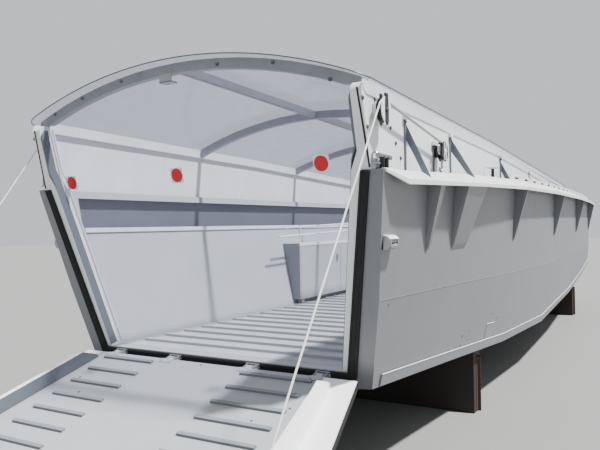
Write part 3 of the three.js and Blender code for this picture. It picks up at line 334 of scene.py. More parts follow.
def printed_film(tree, colour):
    """Printed vinyl film: even colour, smooth, slightly glossy, faded a little in patches."""
    # faded patches 33 mm wide
    tone = drifting(tree, colour, 30.0, 3.0, 0.5, 0.9, 1.1)[2]
    surface = {"Base Color": tone, "Roughness": 0.35, "IOR": 1.48}
    return node(tree, "ShaderNodeBsdfPrincipled", surface).outputs["BSDF"]


def studio_floor_paint(tree, colour):
    """Sealed concrete floor paint: matt and even, with a slow drift in tone."""
    # tone drifts over 1700 mm
    tone = drifting(tree, colour, 0.6, 3.0, 0.5, 0.97, 1.03)[2]
    return node(tree, "ShaderNodeBsdfPrincipled", {"Base Color": tone, "Roughness": 0.8}).outputs["BSDF"]


# Finishes: how each is made, its name, its colour, the slot of pieces that wear it, and its settings
FINISHES = {
    "hull": (sea_enamel, "sea grey enamel", "hull", "hull_paint", {"roughness": 0.40, "wear": 0.3}),
    # the weld bead's enamel is lifted lighter than the hull as a painted highlight, with no painted shade in
    # its corners
    "weld": (
        sea_enamel, "weld seam enamel", "hull", "hull_paint",
        {"roughness": 0.35, "corner_shade": 0.0, "lift": 1.15},
    ),
    "primer": (sea_enamel, "rusty primer", "rust", "hull_paint", {"roughness": 0.7, "wear": 0.8}),
    "well": (
        sea_enamel, "light grey deck enamel", "inside", "inside_paint",
        {"roughness": 0.45, "streaks": 0.2},
    ),
    # painted shade on recesses, linings, curbs, braces and stays, and plain dark paint on screws and door
    # seams
    "shade": (
        sea_enamel, "blue-grey lining enamel", "shade", "inside_paint",
        {"roughness": 0.5, "wear": 0.4, "streaks": 0.2},
    ),
    # real paint on the ramp's treads, and painted shade on the lockers' fore ends and the purlin's underside
    "tread": (
        sea_enamel, "mid grey tread enamel", "tread", "ramp_paint",
        {"roughness": 0.45, "streaks": 0.1},
    ),
    "coaming": (
        sea_enamel, "light coaming enamel", "coaming", "coaming_paint",
        {"roughness": 0.4, "wear": 0.25, "corner_shade": 0.3},
    ),
    "gunwale": (
        sea_enamel, "off-white gunwale enamel", "gunwale", "fender_paint",
        {"roughness": 0.38, "wear": 0.2, "streaks": 0.3, "corner_shade": 0.3},
    ),
    "ramp": (sea_enamel, "scuffed ramp enamel", "ramp", "ramp_paint", {"streaks": 0.1}),
    "ramp_edge": (
        sea_enamel, "white ramp edge enamel", "ramp_edge", "ramp_paint",
        {"roughness": 0.35, "wear": 0.15, "streaks": 0.1, "corner_shade": 0.15},
    ),
    # painted shade: the ramp's side faces are black to blend with the dark under the hull
    "ramp_side": (
        sea_enamel, "black edge enamel", "block", "ramp_paint",
        {"roughness": 0.5, "waves": 0.1},
    ),
    # real black paint on hoist blocks and cheeks, and painted shade on the cleats' legs and posts
    "block": (
        sea_enamel, "black block enamel", "block", "fitting_paint",
        {"roughness": 0.32, "wear": 0.6, "waves": 0.1},
    ),
    "engine": (sea_enamel, "engine enamel", "engine", "engine_paint", {"roughness": 0.4}),
    "wheel": (sea_enamel, "black wheel enamel", "wheel", "wheel_paint", {"roughness": 0.3, "waves": 0.0}),
    "stand": (sea_enamel, "black stand paint", "stand", "stand_timber", {"roughness": 0.7, "wear": 1.0}),
    "post": (
        sea_enamel, "rusted angle bar", "rust", "stand_timber",
        {"roughness": 0.8, "wear": 1.0, "streaks": 1.0},
    ),
    # real rubber on the seal and its ribs, and painted shade on the toe-slot strips, post joints and fairlead
    # throats
    "rubber": (moulded_rubber, "extruded black rubber", "rubber", "seal_rubber", {}),
    "canopy": (
        clear_polycarbonate, "clear canopy sheet", "clear", "canopy_sheet",
        {"body": 0.10, "edge": 0.6},
    ),
    "screen": (
        clear_polycarbonate, "clear screen sheet", "clear", "canopy_sheet",
        {"body": 0.03, "edge": 0.4},
    ),
    "sheet_edge": (
        satin_metal, "cut polycarbonate edge", "sheet_edge", "canopy_sheet",
        {"roughness": 0.35, "metallic": 0.0},
    ),
    "metal": (
        satin_metal, "satin aluminium section", "metal", "canopy_metal",
        {"roughness": 0.42, "metallic": 0.6},
    ),
    "galvanised": (
        satin_metal, "galvanised forging", "fitting", "fitting_paint",
        {"roughness": 0.4, "metallic": 0.7},
    ),
    "bolt": (
        satin_metal, "weathered zinc bolt", "bolt", "fitting_paint",
        {"roughness": 0.5, "metallic": 0.5},
    ),
    "chrome": (
        satin_metal, "polished steel forging", "chrome", "fitting_paint",
        {"roughness": 0.25, "metallic": 0.95},
    ),
    "bronze": (
        satin_metal, "dull cast bronze", "bronze", "propeller_bronze",
        {"roughness": 0.4, "metallic": 0.9},
    ),
    "wire": (coated_wire, "white coated wire rope", "wire", "hoist_wire", {}),
    # painted shade: the white wire drawn in grey where it runs in shade
    "shaded_lead_wire": (coated_wire, "grey coated wire rope", "fitting", "hoist_wire", {}),
    "plate": (printed_film, "white sign plate", "plate", "coaming_paint", {}),
    "sign": (printed_film, "red printed disc", "sign", "coaming_paint", {}),
    "floor": (studio_floor_paint, "sealed studio floor", "floor", None, {}),
}


def finish_of(key):
    """The material of a finish, drawn when it is first asked for."""
    draw, name, colour, _, settings = FINISHES[key]
    made = bpy.data.materials.get(name)
    if made is None:
        made = bpy.data.materials.new(name)
        made.use_nodes = True
        tree = made.node_tree
        tree.nodes.clear()
        surface = draw(tree, getattr(bpy.context.scene.craft_colours, colour), **settings)
        node(tree, "ShaderNodeOutputMaterial", {"Surface": surface})
    return made


def boat(x, y, z):
    """A point given from the middle of the bow sill."""
    return SILL + Vector((x, y, z))


def on_ramp(u, y, v):
    """A point given from the ramp's pin: along the deck, across it and off it."""
    return RAMP_PIN + Matrix.Rotation(RAMP_REST, 3, "Y") @ Vector((u, y, v))


def on_bow(n, y, s):
    """A point given by its distance ahead of the raked bow face, across it, and along it from the sill."""
    return SILL + Matrix.Rotation(BOW_RAKE, 3, "Y") @ Vector((n, y, s))


def along(table, column, x):
    """A column of a table at any place along the craft; tables run from the bow aft."""
    for fore, aft in zip(table, table[1:]):
        if aft[0] <= x:
            share = (fore[0] - x) / (fore[0] - aft[0])
            return fore[column] + (aft[column] - fore[column]) * share
    return table[-1][column]


def side_y(x, z):
    """Half breadth of the hull's side."""
    knee_y, knee_z = along(HULL, KNEE_Y, x), along(HULL, KNEE_Z, x)
    if z >= knee_z:
        return knee_y + (along(HULL, DECK_Y, x) - knee_y) * (min(z, DECK) - knee_z) / (DECK - knee_z)
    chine_y, chine_z = along(HULL, CHINE_Y, x), along(HULL, CHINE_Z, x)
    return chine_y + (knee_y - chine_y) * (z - chine_z) / (knee_z - chine_z)


def well_y(z):
    """Half breadth of the well."""
    return WELL_FOOT + WELL_FLARE * z


def gunwale_z(x, y):
    """Height of the gunwale's sloping top."""
    inner, outer = along(HULL, DECK_Y, x), along(GUNWALE, OUTER, x)
    edge, corner = along(GUNWALE, EDGE, x), along(GUNWALE, CORNER, x)
    return edge + (corner - edge) * (y - inner) / (outer - inner)


def coaming_face(x):
    """Half breadth of the coaming's outer face."""
    return along(COAMING, COAMING_Y, x) + COAMING_PLATE


def vault(x, y, radius):
    """Height of the canopy above the sill, on a surface of that radius."""
    sizes = bpy.context.scene.craft_sizes
    drop = max(0.0, COAMING[0][COAMING_TOP] - along(COAMING, COAMING_TOP, x))
    return sizes.sheet_crown + math.sqrt(radius * radius - y * y) - sizes.sheet_radius - drop


def steps(low, high, count):
    """Evenly spaced values, both ends included."""
    return [low + (high - low) * i / count for i in range(count + 1)]


def piece(name, points, faces, finish, body, crease):
    """A mesh that rides on a body, shaded smooth apart from edges sharper than the crease."""
    mesh = bpy.data.meshes.new(name)
    mesh.from_pydata([tuple(p) for p in points], [], faces)
    bm = bmesh.new()
    bm.from_mesh(mesh)
    bmesh.ops.recalc_face_normals(bm, faces=bm.faces)
    bm.to_mesh(mesh)
    bm.free()
    mesh.shade_smooth()
    mesh.set_sharp_from_angle(angle=math.radians(crease))
    mesh.materials.append(finish_of(finish))
    made = bpy.data.objects.new(name, mesh)
    bpy.context.scene.collection.objects.link(made)
    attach(made, body)
    return made


def soften(made, width, segments=2, angle=28, harden=True):
    """Rounds the hard edges of a piece."""
    rounding = made.modifiers.new("edges", "BEVEL")
    rounding.width = width
    rounding.segments = segments
    rounding.limit_method = "ANGLE"
    rounding.angle_limit = math.radians(angle)
    rounding.harden_normals = harden
    return made


class Parts:
    """Collects simple solids into one mesh. They are drawn to port, in the place that a function gives,
    and side -1 mirrors them to starboard."""

    def __init__(self, place=boat, side=1):
        self.place = place
        self.side = side
        self.points = []
        self.faces = []

    def loops(self, rings, caps=True, ends_meet=False):
        """A skin over closed rings of equal counts."""
        start = len(self.points)
        count = len(rings[0])
        for ring in rings:
            self.points.extend(self.place(x, y * self.side, z) for x, y, z in ring)
        last = len(rings) if ends_meet else len(rings) - 1
        for r in range(last):
            for i in range(count):
                here = start + r * count
                there = start + (r + 1) % len(rings) * count
                j = (i + 1) % count
                self.faces.append((here + i, here + j, there + j, there + i))
        if caps and not ends_meet:
            self.faces.append(tuple(start + i for i in reversed(range(count))))
            end = start + (len(rings) - 1) * count
            self.faces.append(tuple(end + i for i in range(count)))

    def block(self, low, high):
        """A box between two corners."""
        (x0, y0, z0), (x1, y1, z1) = low, high
        self.loops([[(x, y0, z0), (x, y1, z0), (x, y1, z1), (x, y0, z1)] for x in (x0, x1)])

    def strip(self, path, width, height):
        """A flat bar along a path: width across the craft outwards, height upwards."""
        rings = []
        for x, y, z in path:
            out, top = y + width, z + height
            rings.append([(x, y, z), (x, out, z), (x, out, top), (x, y, top)])
        self.loops(rings)

    def tube(self, path, radius, sides=12, lobes=0, lay=1.0, depth=0.0, ring=False):
        """A round bar along a path. The radius may change from point to point. Lobes are the strands of a
        wire, which turn once in each lay."""
        path = [Vector(p) for p in path]
        radii = radius if isinstance(radius, (list, tuple)) else [radius] * len(path)
        rings = []
        across = None
        run = 0.0
        for i, p in enumerate(path):
            before = path[i - 1] if ring or i else path[0]
            after = path[(i + 1) % len(path)] if ring else path[min(i + 1, len(path) - 1)]
            way = (after - before).normalized()
            if across is None:
                across = way.orthogonal().normalized()
            across = (across - way * across.dot(way)).normalized()
            up = way.cross(across)
            if i:
                run += (p - path[i - 1]).length
            turn = 2 * math.pi * run / lay
            loop = []
            for k in range(sides):
                t = 2 * math.pi * k / sides
                r = radii[i] * (1 + depth * math.cos(lobes * (t - turn)) if lobes else 1)
                loop.append(p + r * (math.cos(t) * across + math.sin(t) * up))
            rings.append(loop)
        self.loops(rings, ends_meet=ring)

    def bolt(self, at, way, radius, height, sides=6):
        """A bolt head with a washer, standing on a face."""
        way, at = Vector(way).normalized(), Vector(at)
        heights = [-0.2, 0.25, 0.25, 0.85, 1.0]
        widths = [1.45, 1.45, 1.0, 1.0, 0.7]
        self.tube([at + way * height * h for h in heights], [radius * w for w in widths], sides * 2)

    def slab(self, outline, lift):
        """A flat plate: its outline, and how far its other face lies from it."""
        self.loops([outline, [tuple(a + b for a, b in zip(p, lift)) for p in outline]])

    def made(self, name, finish, body="hull", crease=30):
        """Makes the piece."""
        return piece(name, self.points, self.faces, finish, body, crease)


def rounded_square(half, corner, turns=5):
    """Outline of a square with round corners, across and up."""
    outline = []
    for quarter, (sx, sy) in enumerate(((1, 1), (-1, 1), (-1, -1), (1, -1))):
        for i in range(turns + 1):
            t = math.radians(90 * quarter + 90 * i / turns)
            across = sx * (half - corner) + corner * math.cos(t)
            outline.append((across, sy * (half - corner) + corner * math.sin(t)))
    return outline


def arc(x, y, z, radius, first, last, count=12):
    """Points of an arc that lies fore and aft, angles in degrees up from ahead."""
    return [
        (x + radius * math.cos(math.radians(t)), y, z + radius * math.sin(math.radians(t)))
        for t in steps(first, last, count)
    ]


def geometry_group(name):
    """An empty group that takes in and gives out geometry, and the geometry that comes in."""
    group = bpy.data.node_groups.new(name, "GeometryNodeTree")
    for way in ("INPUT", "OUTPUT"):
        group.interface.new_socket("Geometry", in_out=way, socket_type="NodeSocketGeometry")
    return group, node(group, "NodeGroupInput").outputs[0]


MORE_THAN = {"data_type": "FLOAT", "operation": "GREATER_THAN"}
# Solids as they come in: how near corners join, how flat faces merge, and from which angle an edge is
# rounded, in degrees, or shaded sharp
WELD_WITHIN = 0.0001
FLAT_WITHIN = math.radians(0.4)
ROUND_OVER = 25
SHARP_OVER = math.radians(32)
# How nearly a face has to look a zone's way, as the cosine of the angle
FACING_LEAST = 0.6


def soft_shading():
    """Node group that shades a carried-over solid smooth, apart from its sharp edges."""
    group = bpy.data.node_groups.get("shade by angle")
    if group:
        return group
    group, source = geometry_group("shade by angle")
    every = {"Geometry": source, "Shade Smooth": True}
    smooth = node(group, "GeometryNodeSetShadeSmooth", every, domain="FACE").outputs[0]
    angle = node(group, "GeometryNodeInputMeshEdgeAngle").outputs["Unsigned Angle"]
    sharp = node(group, "FunctionNodeCompare", {0: angle, 1: SHARP_OVER}, **MORE_THAN).outputs[0]
    hard = {"Geometry": smooth, "Selection": sharp, "Shade Smooth": False}
    edges = node(group, "GeometryNodeSetShadeSmooth", hard, domain="EDGE")
    node(group, "NodeGroupOutput", {0: edges.outputs[0]})
    return group


def past(axis, way, at):
    """The half of space past a plane of the boat, one way along an axis."""
    number = "xyz".index(axis)
    direction = [0, 0, 0]
    direction[number] = way
    return direction, way * (SILL[number] + at)


def paint_zone(finish, facing, beyond):
    """Node group that gives another paint to the faces that look one way and lie beyond some planes."""
    group, source = geometry_group("zone of " + finish.name)
    normal = node(group, "GeometryNodeInputNormal").outputs[0]
    place = node(group, "GeometryNodeInputPosition").outputs[0]
    tests = [(place, way, least) for way, least in beyond]
    if facing:
        tests.append((normal, facing, FACING_LEAST))
    chosen = None
    for what, way, least in tests:
        reach = node(group, "ShaderNodeVectorMath", {0: what, 1: tuple(way)}, operation="DOT_PRODUCT")
        limits = {0: reach.outputs["Value"], 1: least}
        passed = node(group, "FunctionNodeCompare", limits, **MORE_THAN).outputs[0]
        if chosen:
            pair = {0: chosen, 1: passed}
            passed = node(group, "FunctionNodeBooleanMath", pair, operation="AND").outputs[0]
        chosen = passed
    zone = {"Geometry": source, "Selection": chosen, "Material": finish}
    painted = node(group, "GeometryNodeSetMaterial", zone)
    node(group, "NodeGroupOutput", {0: painted.outputs[0]})
    return group


def repaint(names, finish, facing=None, beyond=()):
    """Paints one zone of carried-over solids. Each plane is a direction, and how far along it faces start."""
    for name in names:
        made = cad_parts[name]
        made.data.materials.append(finish_of(finish))
        zone = made.modifiers.new("paint zone", "NODES")
        zone.node_group = paint_zone(finish_of(finish), facing, beyond)


def dress(names, finish, edge=None, segments=2):
    """Gives carried-over solids their finish, with welded corners and rounded plate edges."""
    for name in names:
        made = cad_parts[name]
        made.data.materials.clear()
        made.data.materials.append(finish_of(finish))
        weld = made.modifiers.new("weld", "WELD")
        weld.merge_threshold = WELD_WITHIN
        flat = made.modifiers.new("flat faces", "DECIMATE")
        flat.decimate_type = "DISSOLVE"
        flat.angle_limit = FLAT_WITHIN
        soften(made, edge or bpy.context.scene.craft_sizes.edge, segments, angle=ROUND_OVER, harden=False)
        shading = made.modifiers.new("shading", "NODES")
        shading.node_group = soft_shading()
        even = made.modifiers.new("even normals", "WEIGHTED_NORMAL")
        even.keep_sharp = True


def both(name):
    """A pair's two names."""
    return [name + "_port", name + "_starboard"]


class CRAFT_OT_hull(bpy.types.Operator):
    """Paint the hull and lay its side plating, seams and the bead along the chine."""

    bl_idname = "craft.hull"
    bl_label = "Hull"

    # Places that the side plating is drawn at
    STATIONS = (-0.15, -0.6, -1.2, -1.9, -2.6, -3.4, -4.3, -5.5, -6.7, -7.7, -8.7, -9.6, STERN)
    # Bead: height above the chine, and how far it stands out; then the radii of bead, weld, the joint's
    # painted shadow and its painted highlight
    BEAD_UP, BEAD_OUT = 0.082, 0.013
    BEAD, WELD, JOINT_LINE, JOINT_EDGE = 0.0035, 0.002, 0.0022, 0.0028
    # Plating of the bow's face: places along it, and the seal's outer edge, under the sill and above it
    FACE = (-0.092, -0.057, -0.02, 0.2, 0.45, 0.8, 1.2)
    SEAL_UNDER, SEAL_FOOT, SEAL_FLARE = 0.95, 1.072, 0.2
    # Plate joint on the port side, from top to bottom, as a painted shadow line, and the short edge that runs
    # aft from its top, as a painted highlight
    JOINT = ((-2.088, 0.014), (-2.037, -0.222))
    JOINT_TOP = ((-2.088, 0.014), (-2.293, 0.003))
    # Bare spots on the port side: place and radius
    BARE_SPOTS = (
        # x, z, radius
        (-1.489, 0.001, 0.012),
        (-1.642, -0.053, 0.009),
        (-1.479, -0.075, 0.010),
        (-1.629, 0.020, 0.007),
        (-2.207, 0.088, 0.009),
        (-2.344, 0.035, 0.008),
        (-0.023, 0.413, 0.008),
        (-0.929, 0.439, 0.006),
    )

    def levels(self, x):
        """Heights up the side: chine, knuckle, deck and the gunwale's underside, with steps between."""
        chine, knee = along(HULL, CHINE_Z, x), along(HULL, KNEE_Z, x)
        top = max(along(GUNWALE, EDGE, x) - 0.016, DECK + 0.001)
        return [chine + 0.004, (chine + knee) / 2, knee, (knee + DECK) / 2, DECK, top]

    def ring(self, x, proud):
        """Both faces of the plating at one place; at the bow it ends on the raked face."""
        at_bow = x is None
        places = [(z * math.tan(BOW_RAKE) if at_bow else x, z) for z in self.levels(0.0 if at_bow else x)]
        outer = [(px, side_y(px, z) + proud, z) for px, z in places]
        inner = [(px, side_y(px, z) - SUNK, z) for px, z in places]
        return outer + inner[::-1]

    def bow_face(self, parts, proud):
        """Plating on the bow's face, from the seal out to the side."""
        outer, inner = [], []
        for s in self.FACE:
            x, z = s * math.sin(BOW_RAKE), s * math.cos(BOW_RAKE)
            outer.append((side_y(x, z) + proud, s))
            inner.append((self.SEAL_FOOT + self.SEAL_FLARE * s if s > -0.05 else self.SEAL_UNDER, s))
        for (y0, s0), (y1, s1), (q0, _), (q1, _) in zip(outer, outer[1:], inner, inner[1:]):
            parts.loops(
                [
                    [(0.0, y0, s0), (proud, y0, s0), (proud, q0, s0), (0.0, q0, s0)],
                    [(0.0, y1, s1), (proud, y1, s1), (proud, q1, s1), (0.0, q1, s1)],
                ]
            )

    def seam(self, name, finish, side, line, proud, radius, sides=8):
        """A round bead along a line of the side."""
        bead = Parts(boat, side)
        bead.tube([(x, side_y(x, z) + proud, z) for x, z in line], radius, sides)
        bead.made(name, finish)

    def execute(self, context):
        dress(["hull_bottom", *both("side_wall"), "aft_hull", *both("chine_band"), "keel_fin"], "hull")
        dress(["rudder", "exhaust_outlet"], "hull", 0.004)
        proud = context.scene.craft_sizes.plating
        for side, end in SIDES:
            plating = Parts(boat, side)
            plating.loops([self.ring(x, proud) for x in (None, *self.STATIONS)])
            plating.made("side_plating_" + end, "hull", crease=2.5)
            face = Parts(on_bow, side)
            self.bow_face(face, proud)
            face.made("bow_plating_" + end, "hull")
            knuckle = [(x, along(HULL, KNEE_Z, x)) for x in (0.1, *self.STATIONS)]
            self.seam("knuckle_weld_" + end, "weld", side, knuckle, proud, self.WELD)
            chine = [(x, along(HULL, CHINE_Z, x) + self.BEAD_UP) for x in (-0.1, *self.STATIONS[1:])]
            self.seam("chine_bead_" + end, "coaming", side, chine, self.BEAD_OUT, self.BEAD)
        # painted shadow along the plate joint, and a painted highlight on its top edge
        self.seam("plate_joint", "shade", 1, self.JOINT, proud, self.JOINT_LINE, 6)
        self.seam("plate_joint_edge", "coaming", 1, self.JOINT_TOP, proud, self.JOINT_EDGE, 6)
        self.bare_spots(proud)
        return {"FINISHED"}

    def bare_spots(self, proud):
        """Small patches where the paint has gone down to the primer."""
        chance = random.Random(7)
        spots = Parts()
        for x, z, radius in self.BARE_SPOTS:
            outline = []
            for k in range(9):
                r = radius * chance.uniform(0.55, 1.0)
                px, pz = x + r * math.cos(k * 2 * math.pi / 9), z + r * math.sin(k * 2 * math.pi / 9)
                outline.append((px, side_y(px, pz) + proud - SUNK_FLAT, pz))
            spots.slab(outline, (0, 0.0012, 0))
        spots.made("bare_spots", "primer")


class CRAFT_OT_well(bpy.types.Operator):
    """Paint the well, and fit its rails and the lockers' edges."""

    bl_idname = "craft.well"
    bl_label = "Well"

    # Recess in the walls: half breadth, foot and head of the part painted as shade, and the rail along its
    # foot
    RECESS = {"y": 1.27, "low": 0.89, "high": 1.14}
    RECESS_RAIL = {"fore": 0.05, "aft": -6.75, "z": 0.864, "width": 0.011, "height": 0.034}
    # Side lockers: ends, inboard face, foot and head, and the doors of each
    LOCKER = {"fore": -2.80, "aft": -6.88, "inner": 0.93, "low": 0.05, "high": 0.69}
    DOORS = 4
    # Catch of each door: how far ahead of the door's edge it starts and ends, foot and head
    CATCH = {"from": 0.08, "to": 0.11, "low": 0.45, "high": 0.53}
    # Hand rails over the lockers: place of the fore end and height at both ends
    RAILS = (
        # x, fore height, aft height
        (-2.378, 0.773, 0.900),
        (-2.506, 0.869, 0.985),
    )
    RAILS_AFT = -6.85
    RAIL_RADIUS, RAIL_POST_RADIUS = 0.009, 0.010

    def execute(self, context):
        dress(["well_floor", "well_bulkhead", *both("side_locker")], "well")
        # painted shade: the lockers' fore end faces, which face the bow, get the darker treads' grey
        repaint(both("side_locker"), "tread", facing=(1, 0, 0))
        recess, rail = self.RECESS, self.RECESS_RAIL
        for side, end in SIDES:
            wall, inboard = ["side_wall_" + end], (0, -side, 0)
            repaint(wall, "well", facing=inboard)
            depth = [past("y", side, side * recess["y"])]
            depth += [past("z", 1, recess["low"]), past("z", -1, recess["high"])]
            # painted shade: the recess under the side deck is painted blue-grey
            repaint(wall, "shade", facing=inboard, beyond=depth)
            foot = Parts(boat, side)
            y, z = well_y(rail["z"]) - rail["width"], rail["z"]
            foot.strip([(rail["fore"], y, z), (rail["aft"], y, z)], rail["width"], rail["height"])
            soften(foot.made("recess_rail_" + end, "coaming"), 0.002)
            self.rails(end, side)
            self.locker_edges(end, side)
        return {"FINISHED"}

    def rail_z(self, rail, x):
        """Height of a hand rail, which rises evenly aft."""
        fore, low, high = rail
        return low + (high - low) * (fore - x) / (fore - self.LOCKER["aft"])

    def rails(self, end, side):
        """Two round rails on posts along the inboard edge of the locker."""
        rails = Parts(boat, side)
        locker = self.LOCKER
        y = locker["inner"] + 0.012
        radius, post_radius = self.RAIL_RADIUS, self.RAIL_POST_RADIUS
        for rail in self.RAILS:
            rails.tube([(x, y, self.rail_z(rail, x)) for x in steps(rail[0], self.RAILS_AFT, 6)], radius, 10)
        for x in steps(locker["fore"] - 0.04, locker["aft"] + 0.04, self.DOORS):
            foot = (x, y, locker["high"] - 0.005)
            rails.tube([foot, (x, y, self.rail_z(self.RAILS[1], x))], post_radius, 10)
        rails.made("locker_rails_" + end, "coaming")

    def locker_edges(self, end, side):
        """White top edge, dark door seams and a small catch on each door."""
        fore, aft, y, low, high = (self.LOCKER[key] for key in ("fore", "aft", "inner", "low", "high"))
        edge, seams, catches = (Parts(boat, side) for _ in range(3))
        edge.block((aft, y - 0.004, high - 0.03), (fore, y + 0.03, high + 0.004))
        soften(edge.made("locker_edge_" + end, "coaming"), 0.002)
        for i, x in enumerate(steps(fore - 0.02, aft + 0.02, self.DOORS)):
            seams.block((x - 0.004, y - 0.0015, low + 0.01), (x, y + SUNK, high - 0.03))
            if i:
                foot = (x + self.CATCH["from"], y - 0.014, self.CATCH["low"])
                catches.block(foot, (x + self.CATCH["to"], y + SUNK, self.CATCH["high"]))
        seams.made("locker_seams_" + end, "shade")
        soften(catches.made("locker_catches_" + end, "galvanised"), 0.003)


class CRAFT_OT_gunwale(bpy.types.Operator):
    """Paint the gunwale, toe plate and gussets, and lay painted shade behind the toe plate's slots."""

    bl_idname = "craft.gunwale"
    bl_label = "Gunwale"

    # Heights under which the gussets, and their fore faces, wear the hull's enamel
    GUSSETS_BELOW = 1.09
    GUSSET_FACES_BELOW = 1.16
    # Places that the strip behind the toe plate is drawn at
    STATIONS = (-2.6, -4.3, -6.7, -8.7, -10.43)
    # Black strip behind the slotted toe plate, painted shade that shows through the slots: how far inside the
    # deck's edge and above it, and its section
    BACKING = {"inside": 0.0155, "above": 0.006, "width": 0.003, "height": 0.028}

    def execute(self, context):
        dress(both("fender"), "gunwale", 0.002)
        repaint(both("fender"), "hull", beyond=[past("z", -1, self.GUSSETS_BELOW)])
        repaint(both("fender"), "hull", facing=(1, 0, 0), beyond=[past("z", -1, self.GUSSET_FACES_BELOW)])
        held = self.BACKING
        for side, end in SIDES:
            slot_shade, path = Parts(boat, side), []
            for x in self.STATIONS:
                y, z = along(HULL, DECK_Y, x) - held["inside"], along(GUNWALE, EDGE, x) + held["above"]
                path.append((x, y, z))
            slot_shade.strip(path, held["width"], held["height"])
            # painted shade seen through the toe plate's slots
            slot_shade.made("toe_plate_backing_" + end, "rubber")
        return {"FINISHED"}


class CRAFT_OT_bow(bpy.types.Operator):
    """Bow posts with their linings in painted shade, rubber seal and clear screen."""

    bl_idname = "craft.bow"
    bl_label = "Bow"

    # Posts: half breadth of their inner faces, head along the post, and height of the shoulder
    POST_INNER = 1.250
    POST_TOP = 1.60
    SHOULDER = 1.29
    # Bars under the shoulder: how far inside the well's side at the sill, and how much more a metre up
    BAR_INSIDE, BAR_LEAN = 0.036, 0.019
    BAR_DEPTH = 0.1115
    # How far back from the bow's face the lining's painted shade reaches
    LINING_DEPTH = 0.066
    # Black strip painted as the shade in the joint between post and coaming: along the post, and half breadth
    SEAM = ((1.235, 1.3095), (1.438, 1.301), (1.668, 1.2895))
    SEAM_WIDTH = 0.010
    # Cover plate over the joint of post and coaming: after edge, foot and head
    COVER = {"aft": 0.050, "foot": 1.200, "head": 1.668, "proud": 0.0015}
    # Bead round the screen's sides, white as the painted highlight on the screen's edge: places along the
    # post, and its width and depth
    BEAD_PLACES = (0.01, 0.6, 1.28, 1.36, 1.66)
    BEAD_WIDTH, BEAD_DEPTH = 0.009, 0.006
    # Ribs of the seal: how far outside its inner edge, and their distance ahead of the bow
    RIBS = (0.014, 0.041)
    RIB_FACE = 0.0175

    def bar_y(self, z):
        """Half breadth of the inboard face of the bar and post."""
        if z >= self.SHOULDER:
            return self.POST_INNER
        return well_y(z) - self.BAR_INSIDE - self.BAR_LEAN * z

    def lining(self, side, end, thickness):
        """Lining of the inboard face, painted blue-grey as the shade on it; thin below the deck where the
        ramp's curbs come in.
        """
        lining = Parts(on_bow, side)
        top, back, inner = self.POST_TOP, -self.LINING_DEPTH, self.POST_INNER
        # along the post, half breadth, thickness and distance of the fore edge from the bow's face
        edges = [(0.01, 0.002), (1.1, 0.002), (1.28, 0.003), (1.36, thickness), (top, thickness)]
        edges = [(s, self.bar_y(s * math.cos(BOW_RAKE)), t, 0.0008) for s, t in edges]
        for turn in map(math.radians, (30, 60, 78)):
            edges.append((top + 0.055 * math.sin(turn), inner, thickness, -0.06 * (1 - math.cos(turn))))
        lining.loops([[(n, y, s), (n, y - t, s), (back, y - t, s), (back, y, s)] for s, y, t, n in edges])
        soften(lining.made("post_lining_" + end, "shade"), **FINE)

    def execute(self, context):
        thickness = context.scene.craft_sizes.lining
        dress(both("bow_post"), "coaming", 0.0015)
        dress(["ramp_seal"], "rubber", 0.006, 3)
        dress(["bow_screen"], "screen", 0.001, 1)
        low, high = -SUNK, 0.003
        for side, end in SIDES:
            self.lining(side, end, thickness)
            seam, bead = Parts(on_bow, side), Parts(on_bow, side)
            edges = [(s, y, y + self.SEAM_WIDTH) for s, y in self.SEAM]
            seam.loops([[(low, y, s), (high, y, s), (high, out, s), (low, out, s)] for s, y, out in edges])
            # painted shade in the joint between post and coaming
            seam.made("post_seam_" + end, "rubber")
            self.cover(side, end)
            rings = []
            back, face = -self.BAR_DEPTH, -self.BAR_DEPTH + self.BEAD_DEPTH
            for s in self.BEAD_PLACES:
                y = self.bar_y(s * math.cos(BOW_RAKE)) - (thickness if s > 1.3 else 0.002)
                inner = y - self.BEAD_WIDTH
                rings.append([(back, y, s), (back, inner, s), (face, inner, s), (face, y, s)])
            bead.loops(rings)
            bead.made("screen_bead_" + end, "coaming")
            self.seal_ribs(side, end)
        return {"FINISHED"}

    def cover(self, side, end):
        """Thin plate over the joint between post and coaming, on the outer face."""
        aft, foot, head, proud = (self.COVER[key] for key in ("aft", "foot", "head", "proud"))
        shoulder, slope = head - 0.05, math.tan(BOW_RAKE)
        fore = head * slope - 0.030
        outline = [(aft, foot), (foot * slope - 0.002, foot), (shoulder * slope - 0.003, shoulder)]
        outline += [(fore, head - 0.012), (fore - 0.03, head), (aft, shoulder)]
        plate = Parts(boat, side)
        plate.slab([(x, coaming_face(x) - SUNK_FLAT, z) for x, z in outline], (0, proud + SUNK_FLAT, 0))
        plate.made("post_cover_" + end, "coaming")

    def seal_ribs(self, side, end):
        """Two moulded ribs along the seal's face."""
        ribs = Parts(on_bow, side)
        for out in self.RIBS:
            path = [(0.0, -out), (0.9, -out), (1.015 + out, -out), (1.035 + out, 0.1), (1.2598 + out, 1.22)]
            ribs.tube([(self.RIB_FACE, y, s) for y, s in path], 0.0042, 8)
        ribs.made("seal_ribs_" + end, "rubber")


